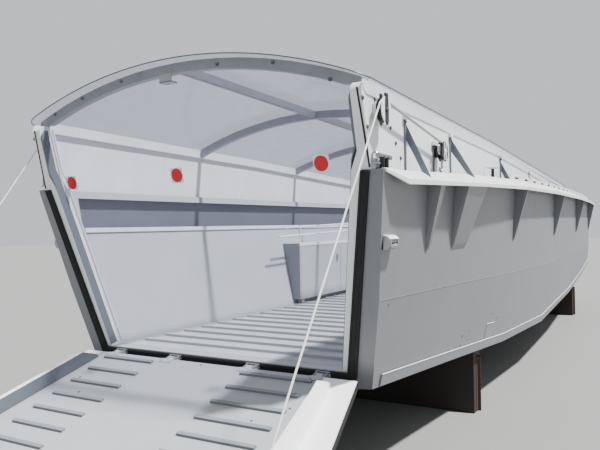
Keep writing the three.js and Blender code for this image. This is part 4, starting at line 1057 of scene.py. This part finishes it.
class CRAFT_OT_signs(bpy.types.Operator):
    """Blank red discs on white plates, on the screen."""

    bl_idname = "craft.signs"
    bl_label = "Blank signs"

    # The screen's fore face ahead of the bow's, and the discs' places on it
    SCREEN_FACE = -0.1115
    PLACES = (
        # across, along the screen
        (-1.150, 1.249),
        (-0.130, 1.250),
        (0.964, 1.260),
    )
    # The plates' half width, round corner and thickness
    PLATE_HALF, PLATE_CORNER, PLATE = 0.052, 0.012, 0.002

    def execute(self, context):
        radius = context.scene.craft_sizes.sign
        n = self.SCREEN_FACE
        turns = [2 * math.pi * k / 40 for k in range(40)]
        for number, (y, s) in enumerate(self.PLACES, 1):
            plate, disc = Parts(on_bow), Parts(on_bow)
            outline = rounded_square(self.PLATE_HALF, self.PLATE_CORNER)
            plate.slab([(n, y + a, s + b) for a, b in outline], (self.PLATE, 0, 0))
            plate.made(f"sign_plate_{number}", "plate")
            rim = [(n + self.PLATE, y + radius * math.cos(t), s + radius * math.sin(t)) for t in turns]
            disc.slab(rim, (0.001, 0, 0))
            disc.made(f"sign_disc_{number}", "sign")
        return {"FINISHED"}


class CRAFT_OT_coaming(bpy.types.Operator):
    """Paint the coamings with painted shade on braces and stays, with bolts at the fore end and brackets at
    the stays' heads.
    """

    bl_idname = "craft.coaming"
    bl_label = "Coamings"

    # Bolts in the outer face at the fore end
    BOLTS = (
        # x, z
        (0.390, 1.559),
        (0.232, 1.574),
        (0.339, 1.413),
        (0.008, 1.446),
        (-0.072, 1.366),
        (-0.147, 1.285),
    )
    # Braces: place, head, and how far the foot lies outside the gunwale's inner edge
    BRACES = ((-0.250, 1.505, 0.010), (-1.180, 1.520, 0.000))
    # A brace's flange: how far it reaches down the coaming and out over the gunwale
    FLANGE_DOWN, FLANGE_OUT = 0.096, 0.056
    # Stays: place and head
    STAYS = (
        (-0.215, 1.540),
        (-0.755, 1.437),
        (-1.145, 1.538),
        (-2.768, 1.520),
        (-4.235, 1.470),
        (-5.700, 1.420),
        (-8.000, 1.345),
    )
    # Where the painted shade of braces and stays starts, fore and aft: half breadth, place and taper
    ZONE_FORE = {"y": 1.321, "x": -2.9}
    ZONE_AFT = {"y": 1.3265, "x": -2.6, "taper": 0.00222}

    def execute(self, context):
        radius = context.scene.craft_sizes.bolt
        fore, aft = self.ZONE_FORE, self.ZONE_AFT
        dress([*both("coaming"), "coaming_aft"], "coaming", 0.002)
        for side, end in SIDES:
            coaming = ["coaming_" + end]
            # painted shade: braces and stays outside the coaming's face are blue-grey
            repaint(coaming, "shade", beyond=[past("y", side, side * fore["y"]), past("x", 1, fore["x"])])
            outside = ((aft["taper"], side, 0), aft["y"] + aft["taper"] * SILL.x)
            repaint(coaming, "shade", beyond=[outside, past("x", -1, aft["x"])])
            self.brace_flanges(side, end)
            bolts, brackets = Parts(boat, side), Parts(boat, side)
            for x, z in self.BOLTS:
                bolts.bolt((x, coaming_face(x), z), (0, 1, 0), radius, 0.009)
            for x, head in self.STAYS:
                y = coaming_face(x)
                bolts.bolt((x, y + 0.012, head - 0.03), (0, 1, 0), radius * 0.8, 0.008)
                brackets.block((x - 0.024, y - SUNK, head - 0.016), (x + 0.024, y + 0.024, head + 0.010))
                brackets.block((x - 0.020, y - SUNK, head - 0.085), (x - 0.009, y + 0.006, head - 0.01))
            bolts.made("coaming_bolts_" + end, "bolt")
            soften(brackets.made("stay_brackets_" + end, "coaming"), 0.002)
        return {"FINISHED"}

    def brace_flanges(self, side, end):
        """Flat plates along the braces' fore faces, blue-grey as painted shade."""
        flanges = Parts(boat, side)
        for x, head, out in self.BRACES:
            face = coaming_face(x) - SUNK
            foot = along(HULL, DECK_Y, x) + out
            outline = [(x, face, head + 0.004), (x, face, head - self.FLANGE_DOWN)]
            outline += [(x, y, gunwale_z(x, y) + 0.001) for y in (foot - 0.002, foot + self.FLANGE_OUT)]
            flanges.slab(outline, (0.002, 0, 0))
        flanges.made("brace_flanges_" + end, "shade")


class CRAFT_OT_canopy(bpy.types.Operator):
    """The clear vault on its arches, with light side rails and bolted end arch."""

    bl_idname = "craft.canopy"
    bl_label = "Canopy"

    # Fore edge of the clear sheet and the places that it is drawn at, and the end arch's fore face
    FORE = 0.44
    STATIONS = (-0.6, -1.5, -2.45, -4.0, -5.2, BULKHEAD)
    ARCH_FACE = 0.355
    # Half breadths of the side rails' zone and of the middle purlin's
    RAIL_Y = 1.268
    PURLIN_Y = 0.05
    # Bolts in the end arch's fore face: across and up
    BOLTS = (
        (-1.135, 1.730),
        (-0.850, 1.814),
        (-0.470, 1.884),
        (0.338, 1.884),
        (0.740, 1.838),
        (1.110, 1.691),
    )
    # Corners of the two blocks of the bracket under the fore end of the middle purlin
    BRACKET = (
        ((0.296, -0.129, 1.822), (0.358, -0.027, 1.832)),
        ((0.352, -0.129, 1.824), (0.358, -0.027, 1.878)),
    )

    def fore_edge(self, y, sizes):
        """Where the sheet begins at this breadth: its fore corners are rounded."""
        inside = sizes.sheet_half - sizes.sheet_corner
        over = max(0.0, abs(y) - inside)
        return self.FORE - sizes.sheet_corner + math.sqrt(max(0.0, sizes.sheet_corner**2 - over**2))

    def breadths(self, sizes):
        """Breadths at which the sheet is drawn, closer together in the round corners."""
        inside = sizes.sheet_half - sizes.sheet_corner
        corner = [inside + sizes.sheet_corner * math.sin(math.radians(t)) for t in (20, 40, 58, 72, 82, 90)]
        middle = steps(-inside, inside, 28)
        return [-y for y in reversed(corner)] + middle + corner

    def execute(self, context):
        sizes = context.scene.craft_sizes
        dress(["canopy_front_arch", "canopy_frame"], "metal", 0.003)
        for side, _ in SIDES:
            repaint(["canopy_frame"], "coaming", beyond=[past("y", side, side * self.RAIL_Y)])
        middle = [past("y", 1, -self.PURLIN_Y), past("y", -1, self.PURLIN_Y)]
        # painted shade: only the middle purlin's underside, facing down, gets the flat treads' grey
        repaint(["canopy_frame"], "tread", (0, 0, -1), middle)
        self.sheet(sizes)
        bolts, bracket = Parts(), Parts()
        for y, z in self.BOLTS:
            bolts.bolt((self.ARCH_FACE, y, z), (1, 0, 0), sizes.bolt, 0.009)
        bolts.made("arch_bolts", "bolt")
        for low, high in self.BRACKET:
            bracket.block(low, high)
        soften(bracket.made("purlin_bracket", "galvanised"), 0.002)
        return {"FINISHED"}

    def sheet(self, sizes):
        """The clear sheet, with its cut edge as a darker line."""
        thickness = sizes.sheet_thickness
        top, under = sizes.sheet_radius, sizes.sheet_radius - thickness
        sheet, edge = Parts(), Parts()
        rim = [(self.fore_edge(y, sizes), y) for y in self.breadths(sizes)]
        rings = []
        for fore, y in rim:
            places = (fore, *self.STATIONS)
            upper = [(x, y, vault(x, y, top)) for x in places]
            rings.append(upper + [(x, y, vault(x, y, under)) for x in reversed(places)])
        sheet.loops(rings)
        clear = sheet.made("canopy_vault", "canopy", crease=40)
        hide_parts("canopy_sheet")
        sides = [(x, sizes.sheet_half) for x in self.STATIONS]
        loop = [(x, -y) for x, y in reversed(sides)] + rim + sides
        middle = sizes.sheet_radius - thickness / 2
        edge.tube([(x, y, vault(x, y, middle)) for x, y in loop], thickness * 0.52, 8)
        edge.made("sheet_edge", "sheet_edge")


class CRAFT_OT_ramp(bpy.types.Operator):
    """The ramp with its curbs, borders, hinge leaves and screws."""

    bl_idname = "craft.ramp"
    bl_label = "Ramp"

    # Above the pin: the deck, the border's top and its low outer edge; then the ramp's length
    DECK_TOP = 0.030
    BORDER_TOP = 0.0312
    BORDER_EDGE = 0.024
    LENGTH = 2.02
    # Half breadths of panel and curb at the hinge, and how they grow with each metre as far as the kink
    PANEL_FOOT, PANEL_FLARE = 1.110, 0.2
    CURB_FOOT, CURB_FLARE = 0.925, 0.15
    CURB_WIDTH = 0.043
    # Inner edge of the port border, in the same way; inside the curb its white is painted sunlight
    PORT_FOOT, PORT_FLARE = 0.866, 0.1
    KINK = 1.224
    # Half breadths inside which the treads lie, and outside which the panel's sides lie
    TREADS_Y = 0.9
    SIDES_Y = 1.0
    # Screws in the deck: along it and across
    SCREWS = (
        (0.057, -0.289),
        (0.061, -0.022),
        (0.377, -0.851),
        (0.534, -0.691),
        (0.377, 0.851),
        (0.534, 0.691),
    )
    # Hinge leaves: half breadths of those on each side, and half a leaf's width
    HINGES = (0.33, 0.85)
    LEAF_HALF = 0.052
    # Along the deck: a leaf's ends, and its bolts; then how far the bolts are from its middle
    LEAF, LEAF_BOLT, LEAF_BOLT_OUT = (0.036, 0.082), 0.062, 0.035

    def panel_y(self, u):
        return self.PANEL_FOOT + self.PANEL_FLARE * min(u, self.KINK)

    def curb_y(self, u):
        return self.CURB_FOOT + self.CURB_FLARE * min(u, self.KINK)

    def border(self, side, end):
        """White border of the deck outside the curb; to port it starts inside it, as painted sunlight on the
        deck there.
        """
        border = Parts(on_ramp, side)
        low, top = self.DECK_TOP, self.BORDER_TOP
        for ends in ((0.040, self.KINK), (self.KINK, self.LENGTH - 0.004)):
            rings = []
            for u in ends:
                port = self.PORT_FOOT + self.PORT_FLARE * min(u, self.KINK)
                inner = port if side > 0 else self.curb_y(u) + self.CURB_WIDTH
                outer = self.panel_y(u) + 0.0012
                edge = (u, outer, self.BORDER_EDGE)
                rings.append([(u, inner, low), (u, inner, top), (u, outer, top), edge])
            border.loops(rings)
        border.made("ramp_border_" + end, "ramp_edge", "ramp", crease=20)

    def execute(self, context):
        dress(["ramp_panel"], "ramp")
        dress(both("ramp_curb"), "ramp_edge")
        up = Matrix.Rotation(RAMP_REST, 3, "Y") @ Vector((0, 0, 1))
        over_deck = (up, up.dot(on_ramp(0, 0, self.DECK_TOP + 0.003)))
        treads = [over_deck, past("y", 1, -self.TREADS_Y), past("y", -1, self.TREADS_Y)]
        repaint(["ramp_panel"], "tread", beyond=treads)
        for side, end in SIDES:
            outside = [past("y", side, side * self.SIDES_Y)]
            # painted shade: the panel's side faces are black
            repaint(["ramp_panel"], "ramp_side", facing=(0, side, 0), beyond=outside)
            # painted shade: the curbs' inner faces are blue-grey
            repaint(["ramp_curb_" + end], "shade", facing=(0, -side, 0))
            self.border(side, end)
        screws = Parts(on_ramp)
        for u, y in self.SCREWS:
            screws.bolt((u, y, self.DECK_TOP), (0, 0, 1), 0.006, 0.004)
        screws.made("ramp_screws", "shade", "ramp")
        for number, y in enumerate((y * side for y in self.HINGES for side in (1, -1)), 1):
            self.hinge_leaf(number, y)
        return {"FINISHED"}

    def hinge_leaf(self, number, y):
        """A hinge's leaf on the ramp, bolted down, and its keeper plate on the bow."""
        leaf, keeper = Parts(on_ramp), Parts(on_bow)
        top = self.DECK_TOP + 0.004
        inner, outer = y - self.LEAF_HALF, y + self.LEAF_HALF
        near, far = self.LEAF
        leaf.block((near, inner, self.DECK_TOP - SUNK), (far, outer, top))
        for across in (-self.LEAF_BOLT_OUT, self.LEAF_BOLT_OUT):
            leaf.bolt((self.LEAF_BOLT, y + across, top), (0, 0, 1), 0.008, 0.005)
        soften(leaf.made(f"hinge_leaf_{number}", "ramp", "ramp"), **FINE)
        keeper.block((0.017, inner, -0.062), (0.021, outer, -0.004))
        soften(keeper.made(f"hinge_keeper_{number}", "ramp"), **FINE)


class CRAFT_OT_hoist(bpy.types.Operator):
    """Sheaves, lead blocks and hoist wires."""

    bl_idname = "craft.hoist"
    bl_label = "Hoist"

    # Half breadth of the wire, the sheave's middle, and the radius that the wire turns on
    WIRE_Y = 1.375
    SHEAVE = (0.240, 1.508)
    SHEAVE_RADIUS = 0.052
    # Half breadths that the wheel lies between, and how far a cheek's face is from the wire
    WHEEL_Y = (1.3565, 1.380)
    CHEEK_FACE = 0.018
    # A cheek plate's half widths, from its head down
    CHEEK = ((0.078, 0.016), (0.060, 0.022), (0.0, 0.026), (-0.060, 0.024), (-0.082, 0.014))
    # Half the gap that the cheeks' heads leave the wire
    HEAD_GAP = 0.0105
    # Lead block, and the places between which its solid is wire, painted grey as the white wire in shade
    LEAD = (-0.800, 1.380)
    LEAD_RUN = (-0.72, 0.19)
    # Wire: where it leaves the sheave, its way to the ramp, its length, and the share of that which is
    # left when the ramp is up
    WIRE_FOOT = (0.28920, 1.54470)
    WIRE_WAY = (0.59770, -0.80170)
    WIRE_LENGTH = 2.6665
    WIRE_KEEP = 0.1415
    # Strands of the wire, and how deep the hollows between them are as a share of its radius
    STRANDS = {"sides": 24, "lobes": 6, "depth": 0.07}
    # The ramp's eye: along the deck and above the pin
    RAMP_EYE = (1.945, 0.058)

    def execute(self, context):
        sizes = context.scene.craft_sizes
        dress(both("hoist_sheave"), "coaming", 0.003)
        dress(both("hoist_lead"), "block", 0.003)
        inner, outer = self.WHEEL_Y
        lead_run = [past("x", 1, self.LEAD_RUN[0]), past("x", -1, self.LEAD_RUN[1])]
        for side, end in SIDES:
            wheel = [past("y", side, side * inner), past("y", -side, side * outer)]
            repaint(["hoist_sheave_" + end], "block", beyond=wheel)
            self.cheek_plates(side, end)
            repaint(["hoist_lead_" + end], "shaded_lead_wire", beyond=lead_run)
            self.wire(side, end, sizes)
            self.sheave_detail(side, end)
            self.lead_detail(side, end)
            self.eye_detail(side, end)
        return {"FINISHED"}

    def wire(self, side, end, sizes):
        """The wire from the sheave to the ramp's eye, and its turn over the sheave."""
        x, z = self.WIRE_FOOT
        dx, dz = self.WIRE_WAY
        wire, turn = Parts(boat, side), Parts(boat, side)
        run = [(x + dx * t, self.WIRE_Y, z + dz * t) for t in steps(0.0, self.WIRE_LENGTH, 222)]
        wire.tube(run, sizes.wire, lay=sizes.wire_lay, **self.STRANDS)
        made = wire.made("hoist_wire_" + end, "wire", "cable_" + end, crease=50)
        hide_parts("hoist_cable_" + end)
        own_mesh(made)
        path = arc(self.SHEAVE[0], self.WIRE_Y, self.SHEAVE[1], self.SHEAVE_RADIUS + sizes.wire, 128, 37, 20)
        turn.tube(path, sizes.wire * 1.03, lay=sizes.wire_lay, **self.STRANDS)
        turn.made("hoist_wire_turn_" + end, "wire", crease=50)

    def cheek_plates(self, side, end):
        """Narrow black plates on both sides of the sheave, with heads that leave the wire a gap."""
        x, z = self.SHEAVE
        reach, gap = self.CHEEK_FACE, self.HEAD_GAP
        outline = [(x - w, z + up) for up, w in self.CHEEK]
        outline += [(x + w, z + up) for up, w in reversed(self.CHEEK)]
        plates = Parts(boat, side)
        for y in (self.WIRE_Y - reach, self.WIRE_Y + reach - SUNK_FLAT):
            plates.slab([(px, y, pz) for px, pz in outline], (0, 0.0035, 0))
        head = z + self.CHEEK[0][0]
        for near, far in ((-reach, -gap), (gap, reach + 0.003)):
            low = (x - 0.018, self.WIRE_Y + near, head - 0.004)
            plates.block(low, (x + 0.018, self.WIRE_Y + far, head + 0.014))
        soften(plates.made("sheave_cheeks_" + end, "block"), **FINE)

    def sheave_detail(self, side, end):
        """Pin head on the sheave's outer cheek."""
        parts = Parts(boat, side)
        x, z = self.SHEAVE
        parts.bolt((x, self.WIRE_Y + self.CHEEK_FACE + 0.003, z), (0, 1, 0), 0.010, 0.009)
        parts.made("sheave_pins_" + end, "bolt")

    def lead_detail(self, side, end):
        """The lead block's white straps, shackle and the hook that hangs from it."""
        x, z = self.LEAD
        y, outer = self.WIRE_Y, self.WIRE_Y + self.CHEEK_FACE
        straps, hook = Parts(boat, side), Parts(boat, side)
        for left in (x - 0.026, x + 0.012):
            straps.block((left, outer - SUNK_FLAT, z - 0.060), (left + 0.014, outer + 0.003, z + 0.062))
        straps.bolt((x, outer + 0.001, z), (0, 1, 0), 0.013, 0.010)
        soften(straps.made("lead_block_straps_" + end, "coaming"), **FINE)
        bend = [(x + 0.02, y, z - 0.062), (x + 0.02, y, z - 0.090)]
        bend += arc(x + 0.045, y, z - 0.112, 0.028, 140, 370, 14)
        hook.tube(bend, [0.008] * (len(bend) - 1) + [0.004], 10)
        turns = [2 * math.pi * k / 18 for k in range(18)]
        ring = [(x + 0.075 + 0.020 * math.cos(t), y, z + 0.008 + 0.030 * math.sin(t)) for t in turns]
        hook.tube(ring, 0.006, 8, ring=True)
        hook.made("lead_block_hook_" + end, "galvanised")

    def eye_detail(self, side, end):
        """Pin through the ramp's eye, with its head."""
        u, v = self.RAMP_EYE
        inner, outer = self.WIRE_Y - 0.022, self.WIRE_Y + 0.022
        pin = Parts(on_ramp, side)
        pin.tube([(u, inner, v), (u, outer, v)], 0.011, 12)
        pin.bolt((u, outer, v), (0, 1, 0), 0.014, 0.008)
        pin.made("ramp_eye_pin_" + end, "galvanised", "ramp")


class CRAFT_OT_fittings(bpy.types.Operator):
    """Cleats, shackles and side fairleads."""

    bl_idname = "craft.fittings"
    bl_label = "Fittings"

    # Fairlead on the side: its middle, half sizes, and how far it stands proud
    FAIRLEAD = {"x": 0.12, "z": 0.786, "half": 0.06, "half_height": 0.042, "proud": 0.052}
    # Profiles of the fairlead's cheeks and hood: shares of its reach outwards and half height upwards
    CHEEK = ((0.0, -1.0), (0.45, -0.95), (0.85, -0.6), (1.0, -0.1), (0.94, 0.45), (0.6, 0.86), (0.0, 1.0))
    HOOD = ((0.0, 1.06), (0.62, 0.92), (0.98, 0.48), (0.90, 0.40), (0.55, 0.78), (0.0, 0.90))
    CHEEK_WIDTH = 0.012
    # Rollers: height from the middle, and radius
    ROLLERS = ((-0.022, 0.015), (0.008, 0.011))
    # Height under which the horn cleats' legs are black, as painted shade under the horns
    SHADED_LEGS_BELOW = 1.262
    # Cleat on the side deck: place, height of its bar, and half length
    T_CLEAT = {"x": -2.16, "y": 1.392, "bar": 1.366, "half": 0.056}
    # Shackle on the post: middle of its pin, half its width, and how far its legs rise
    SHACKLE = {"x": 0.292, "y": 1.340, "z": 1.232, "half": 0.016, "rise": 0.030}

    def execute(self, context):
        dress(both("bow_cleat"), "chrome", 0.004, 3)
        for side, end in SIDES:
            # painted shade: the legs under the horns are black
            repaint(["bow_cleat_" + end], "block", beyond=[past("z", -1, self.SHADED_LEGS_BELOW)])
            self.fairlead(side, end)
            self.deck_cleat(side, end)
            self.shackle(side, end)
        return {"FINISHED"}

    def fairlead(self, side, end):
        """A side fairlead: plate, rounded cheeks, white hood, two rollers and painted shade in its throat,
        where its plain solid is.
        """
        lead = self.FAIRLEAD
        x, z, half, tall = lead["x"], lead["z"], lead["half"], lead["half_height"]
        y, reach = side_y(x, z) - 0.004, lead["proud"] + 0.004
        cheeks, hood, rollers, slot = (Parts(boat, side) for _ in range(4))

        def section(outline, at):
            return [(x + at, y + reach * out, z + tall * up) for out, up in outline]

        cheeks.block((x - half, y, z - tall), (x + half, y + 0.010, z + tall))
        for at in (-half, half - self.CHEEK_WIDTH):
            cheeks.loops([section(self.CHEEK, at), section(self.CHEEK, at + self.CHEEK_WIDTH)])
        made = soften(cheeks.made("fairlead_body_" + end, "galvanised"), 0.002)
        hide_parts("side_fairlead_" + end)
        hood.loops([section(self.HOOD, at) for at in (-half - 0.004, half + 0.004)])
        soften(hood.made("fairlead_hood_" + end, "coaming"), 0.001)
        for up, radius in self.ROLLERS:
            places = (x - half + 0.010, x - half + 0.024, x, x + half - 0.024, x + half - 0.010)
            widths = [radius * share for share in (1.15, 1.0, 0.85, 1.0, 1.15)]
            rollers.tube([(px, y + reach - 0.020, z + up) for px in places], widths, 20)
        rollers.made("fairlead_rollers_" + end, "galvanised")
        # painted shade: a black sheet at the back of the fairlead's throat
        low = (x - half + 0.013, y + 0.009, z - tall + 0.006)
        slot.block(low, (x + half - 0.013, y + 0.0115, z + tall - 0.008))
        slot.made("fairlead_slot_" + end, "rubber")

    def deck_cleat(self, side, end):
        """A cleat with a cross bar, on a post that stands on the side deck inside the gunwale."""
        x, y, bar, half = (self.T_CLEAT[key] for key in ("x", "y", "bar", "half"))
        post, horns = Parts(boat, side), Parts(boat, side)
        post.block((x - 0.035, y - 0.035, DECK - SUNK), (x + 0.035, y + 0.035, DECK + 0.008))
        post.tube([(x, y, DECK), (x, y, DECK + 0.03), (x, y, bar - 0.008)], [0.022, 0.016, 0.013], 14)
        # the post is black: painted shade under the cross bar
        post.made("deck_cleat_post_" + end, "block")
        line = [(x, y + half * t, bar + 0.008 * t * t) for t in steps(-1, 1, 8)]
        horns.tube(line, [0.005, 0.010, 0.012, 0.013, 0.014, 0.013, 0.012, 0.010, 0.005], 14)
        horns.made("deck_cleat_" + end, "coaming")

    def shackle(self, side, end):
        """A shackle that stands up from a lug on the post's outer face."""
        x, y, z, half, rise = (self.SHACKLE[key] for key in ("x", "y", "z", "half", "rise"))
        foot = z - 0.008
        eye = Parts(boat, side)
        eye.block((x - 0.022, coaming_face(x) - SUNK, z - 0.018), (x + 0.010, y + half + 0.008, foot))
        bow = [(x, y - half * math.cos(t), z + rise + 0.018 * math.sin(t)) for t in steps(0, math.pi, 9)]
        eye.tube([(x, y - half, foot), *bow, (x, y + half, foot)], 0.0058, 10)
        eye.tube([(x - 0.016, y, z + 0.004), (x + 0.008, y, z + 0.004)], 0.010, 12)
        eye.made("post_shackle_" + end, "chrome")


class CRAFT_OT_machinery(bpy.types.Operator):
    """Propeller, engine, hatch and steering."""

    bl_idname = "craft.machinery"
    bl_label = "Machinery"

    # Height of the shaft, and place of the hub's after face
    SHAFT_Z = -0.405
    HUB_AFT = -9.855
    # Cap over the propeller's nut: how far aft, and radius
    CAP = ((0.004, 0.046), (-0.020, 0.044), (-0.045, 0.036), (-0.065, 0.024), (-0.080, 0.010))
    HATCH = {"fore": -7.20, "aft": -9.30, "half": 0.58, "thickness": 0.040}

    def execute(self, context):
        dress(["propeller"], "bronze", 0.003)
        dress(["engine_block"], "engine", 0.008)
        dress(["steering_wheel"], "wheel", 0.002)
        dress(["engine_hatch", "steering_stand"], "coaming", 0.004)
        cap = Parts()
        cap.tube([(self.HUB_AFT + dx, 0, self.SHAFT_Z) for dx, _ in self.CAP], [r for _, r in self.CAP], 24)
        cap.made("propeller_cap", "bronze", "propeller")
        self.hatch_handles()
        return {"FINISHED"}

    def hatch_handles(self):
        """Two bent handles on the lid's free edge, and a row of bolts along it."""
        fore, aft, half = (self.HATCH[key] for key in ("fore", "aft", "half"))
        top = DECK + self.HATCH["thickness"]
        y, foot, crest = half - 0.12, top - 0.004, top + 0.032
        handles, bolts = Parts(), Parts()
        for x in (fore - 0.35, aft + 0.35):
            path = [(x - 0.07, y, foot), (x - 0.066, y, crest - 0.008), (x - 0.058, y, crest)]
            path += [(2 * x - px, py, pz) for px, py, pz in reversed(path)]
            handles.tube(path, 0.007, 10)
        handles.made("hatch_handles", "galvanised", "engine_hatch")
        for x in steps(fore - 0.06, aft + 0.06, 12):
            bolts.bolt((x, half - 0.03, top), (0, 0, 1), 0.008, 0.006)
        bolts.made("hatch_bolts", "bolt", "engine_hatch")


class CRAFT_OT_stands(bpy.types.Operator):
    """The two stands, with a rusty post and its bolt at each end."""

    bl_idname = "craft.stands"
    bl_label = "Stands"

    PLACES = (("stand_fore", -2.1), ("stand_aft", -8.6))
    # Posts: their heads, the half breadth that they stand at, and half their width
    POST_TOP = -0.262
    HALF = 1.24
    POST_HALF = 0.017

    def execute(self, context):
        dress([name for name, _ in self.PLACES], "stand", 0.006)
        y, half, top, foot = self.HALF, self.POST_HALF, self.POST_TOP, 0.001 - SILL.z
        for name, x in self.PLACES:
            for side, end in SIDES:
                post, bolt = Parts(boat, side), Parts(boat, side)
                post.block((x - half, y - 0.002, foot), (x + half, y + 0.004, top))
                post.block((x - half, y + 0.003, foot), (x - half + 0.005, y + 0.030, top))
                soften(post.made(f"{name}_post_{end}", "post"), **FINE)
                bolt.bolt((x + 0.003, y + 0.004, top - 0.03), (0, 1, 0), 0.011, 0.012)
                bolt.made(f"{name}_bolt_{end}", "bolt")
        return {"FINISHED"}


class CRAFT_OT_stage(bpy.types.Operator):
    """Camera, plain floor and soft light."""

    bl_idname = "craft.stage"
    bl_label = "Stage"

    FLOOR_REACH = 60.0
    # The camera's ways to the right and ahead, and the way that the key light comes from
    CAMERA_RIGHT = (-0.50062, 0.86550, -0.01703)
    CAMERA_FORWARD = (-0.86564, -0.50067, 0.00199)
    KEY_FROM = (-0.2, 1.0, 1.95)
    KEY_ANGLE = math.radians(3)

    def execute(self, context):
        studio = context.scene.studio_settings
        reach = self.FLOOR_REACH
        corners = [(-reach, -reach, 0), (reach, -reach, 0), (reach, reach, 0), (-reach, reach, 0)]
        mesh = bpy.data.meshes.new("studio_floor")
        mesh.from_pydata(corners, [], [(0, 1, 2, 3)])
        mesh.materials.append(finish_of("floor"))
        floor = bpy.data.objects.new("studio_floor", mesh)
        context.scene.collection.objects.link(floor)
        self.camera(context, studio)
        lamp = bpy.data.lights.new("key", "SUN")
        lamp.energy = studio.key
        lamp.angle = self.KEY_ANGLE
        key = bpy.data.objects.new("key", lamp)
        key.rotation_euler = Vector(self.KEY_FROM).to_track_quat("Z", "Y").to_euler()
        context.scene.collection.objects.link(key)
        world = bpy.data.worlds.new("studio")
        world.use_nodes = True
        world.node_tree.nodes.clear()
        sky = {"Color": rgba(linear("#e9eef4")), "Strength": studio.sky}
        light = node(world.node_tree, "ShaderNodeBackground", sky)
        node(world.node_tree, "ShaderNodeOutputWorld", {"Surface": light.outputs["Background"]})
        context.scene.world = world
        return {"FINISHED"}

    def camera(self, context, studio):
        """The camera, 0.9 m above the sill, ahead of the port bow."""
        view = bpy.data.cameras.new("camera")
        view.lens = studio.lens
        view.sensor_width = 36
        view.sensor_fit = "HORIZONTAL"
        view.clip_end = 200
        camera = bpy.data.objects.new("camera", view)
        right, forward = Vector(self.CAMERA_RIGHT), Vector(self.CAMERA_FORWARD)
        turned = Matrix((right, right.cross(forward), -forward)).transposed().to_4x4()
        camera.matrix_world = Matrix.Translation(studio.camera) @ turned
        context.scene.collection.objects.link(camera)
        context.scene.camera = camera


class CRAFT_PT_panel(bpy.types.Panel):
    """Lists the craft's pieces."""

    bl_idname = "CRAFT_PT_panel"
    bl_label = "Landing craft"
    bl_space_type = "VIEW_3D"
    bl_region_type = "UI"
    bl_category = "Landing craft"

    def draw(self, context):
        for operator in OPERATORS:
            self.layout.operator(operator.bl_idname)


OPERATORS = (
    CRAFT_OT_stage,
    CRAFT_OT_hull,
    CRAFT_OT_well,
    CRAFT_OT_gunwale,
    CRAFT_OT_bow,
    CRAFT_OT_signs,
    CRAFT_OT_coaming,
    CRAFT_OT_canopy,
    CRAFT_OT_ramp,
    CRAFT_OT_hoist,
    CRAFT_OT_fittings,
    CRAFT_OT_machinery,
    CRAFT_OT_stands,
)
CLASSES = (CraftColours, CraftSizes, StudioSettings, *OPERATORS, CRAFT_PT_panel)


def register():
    for item in CLASSES:
        bpy.utils.register_class(item)
    bpy.types.Scene.craft_colours = PointerProperty(type=CraftColours)
    bpy.types.Scene.craft_sizes = PointerProperty(type=CraftSizes)
    bpy.types.Scene.studio_settings = PointerProperty(type=StudioSettings)


def unregister():
    del bpy.types.Scene.studio_settings
    del bpy.types.Scene.craft_sizes
    del bpy.types.Scene.craft_colours
    for item in reversed(CLASSES):
        bpy.utils.unregister_class(item)


def main():
    register()
    bpy.ops.craft.stage()
    bpy.ops.craft.hull()
    bpy.ops.craft.well()
    bpy.ops.craft.gunwale()
    bpy.ops.craft.bow()
    bpy.ops.craft.signs()
    bpy.ops.craft.coaming()
    bpy.ops.craft.canopy()
    bpy.ops.craft.ramp()
    bpy.ops.craft.hoist()
    bpy.ops.craft.fittings()
    bpy.ops.craft.machinery()
    bpy.ops.craft.stands()
    bpy.context.view_layer.update()


if __name__ == "__main__":
    main()
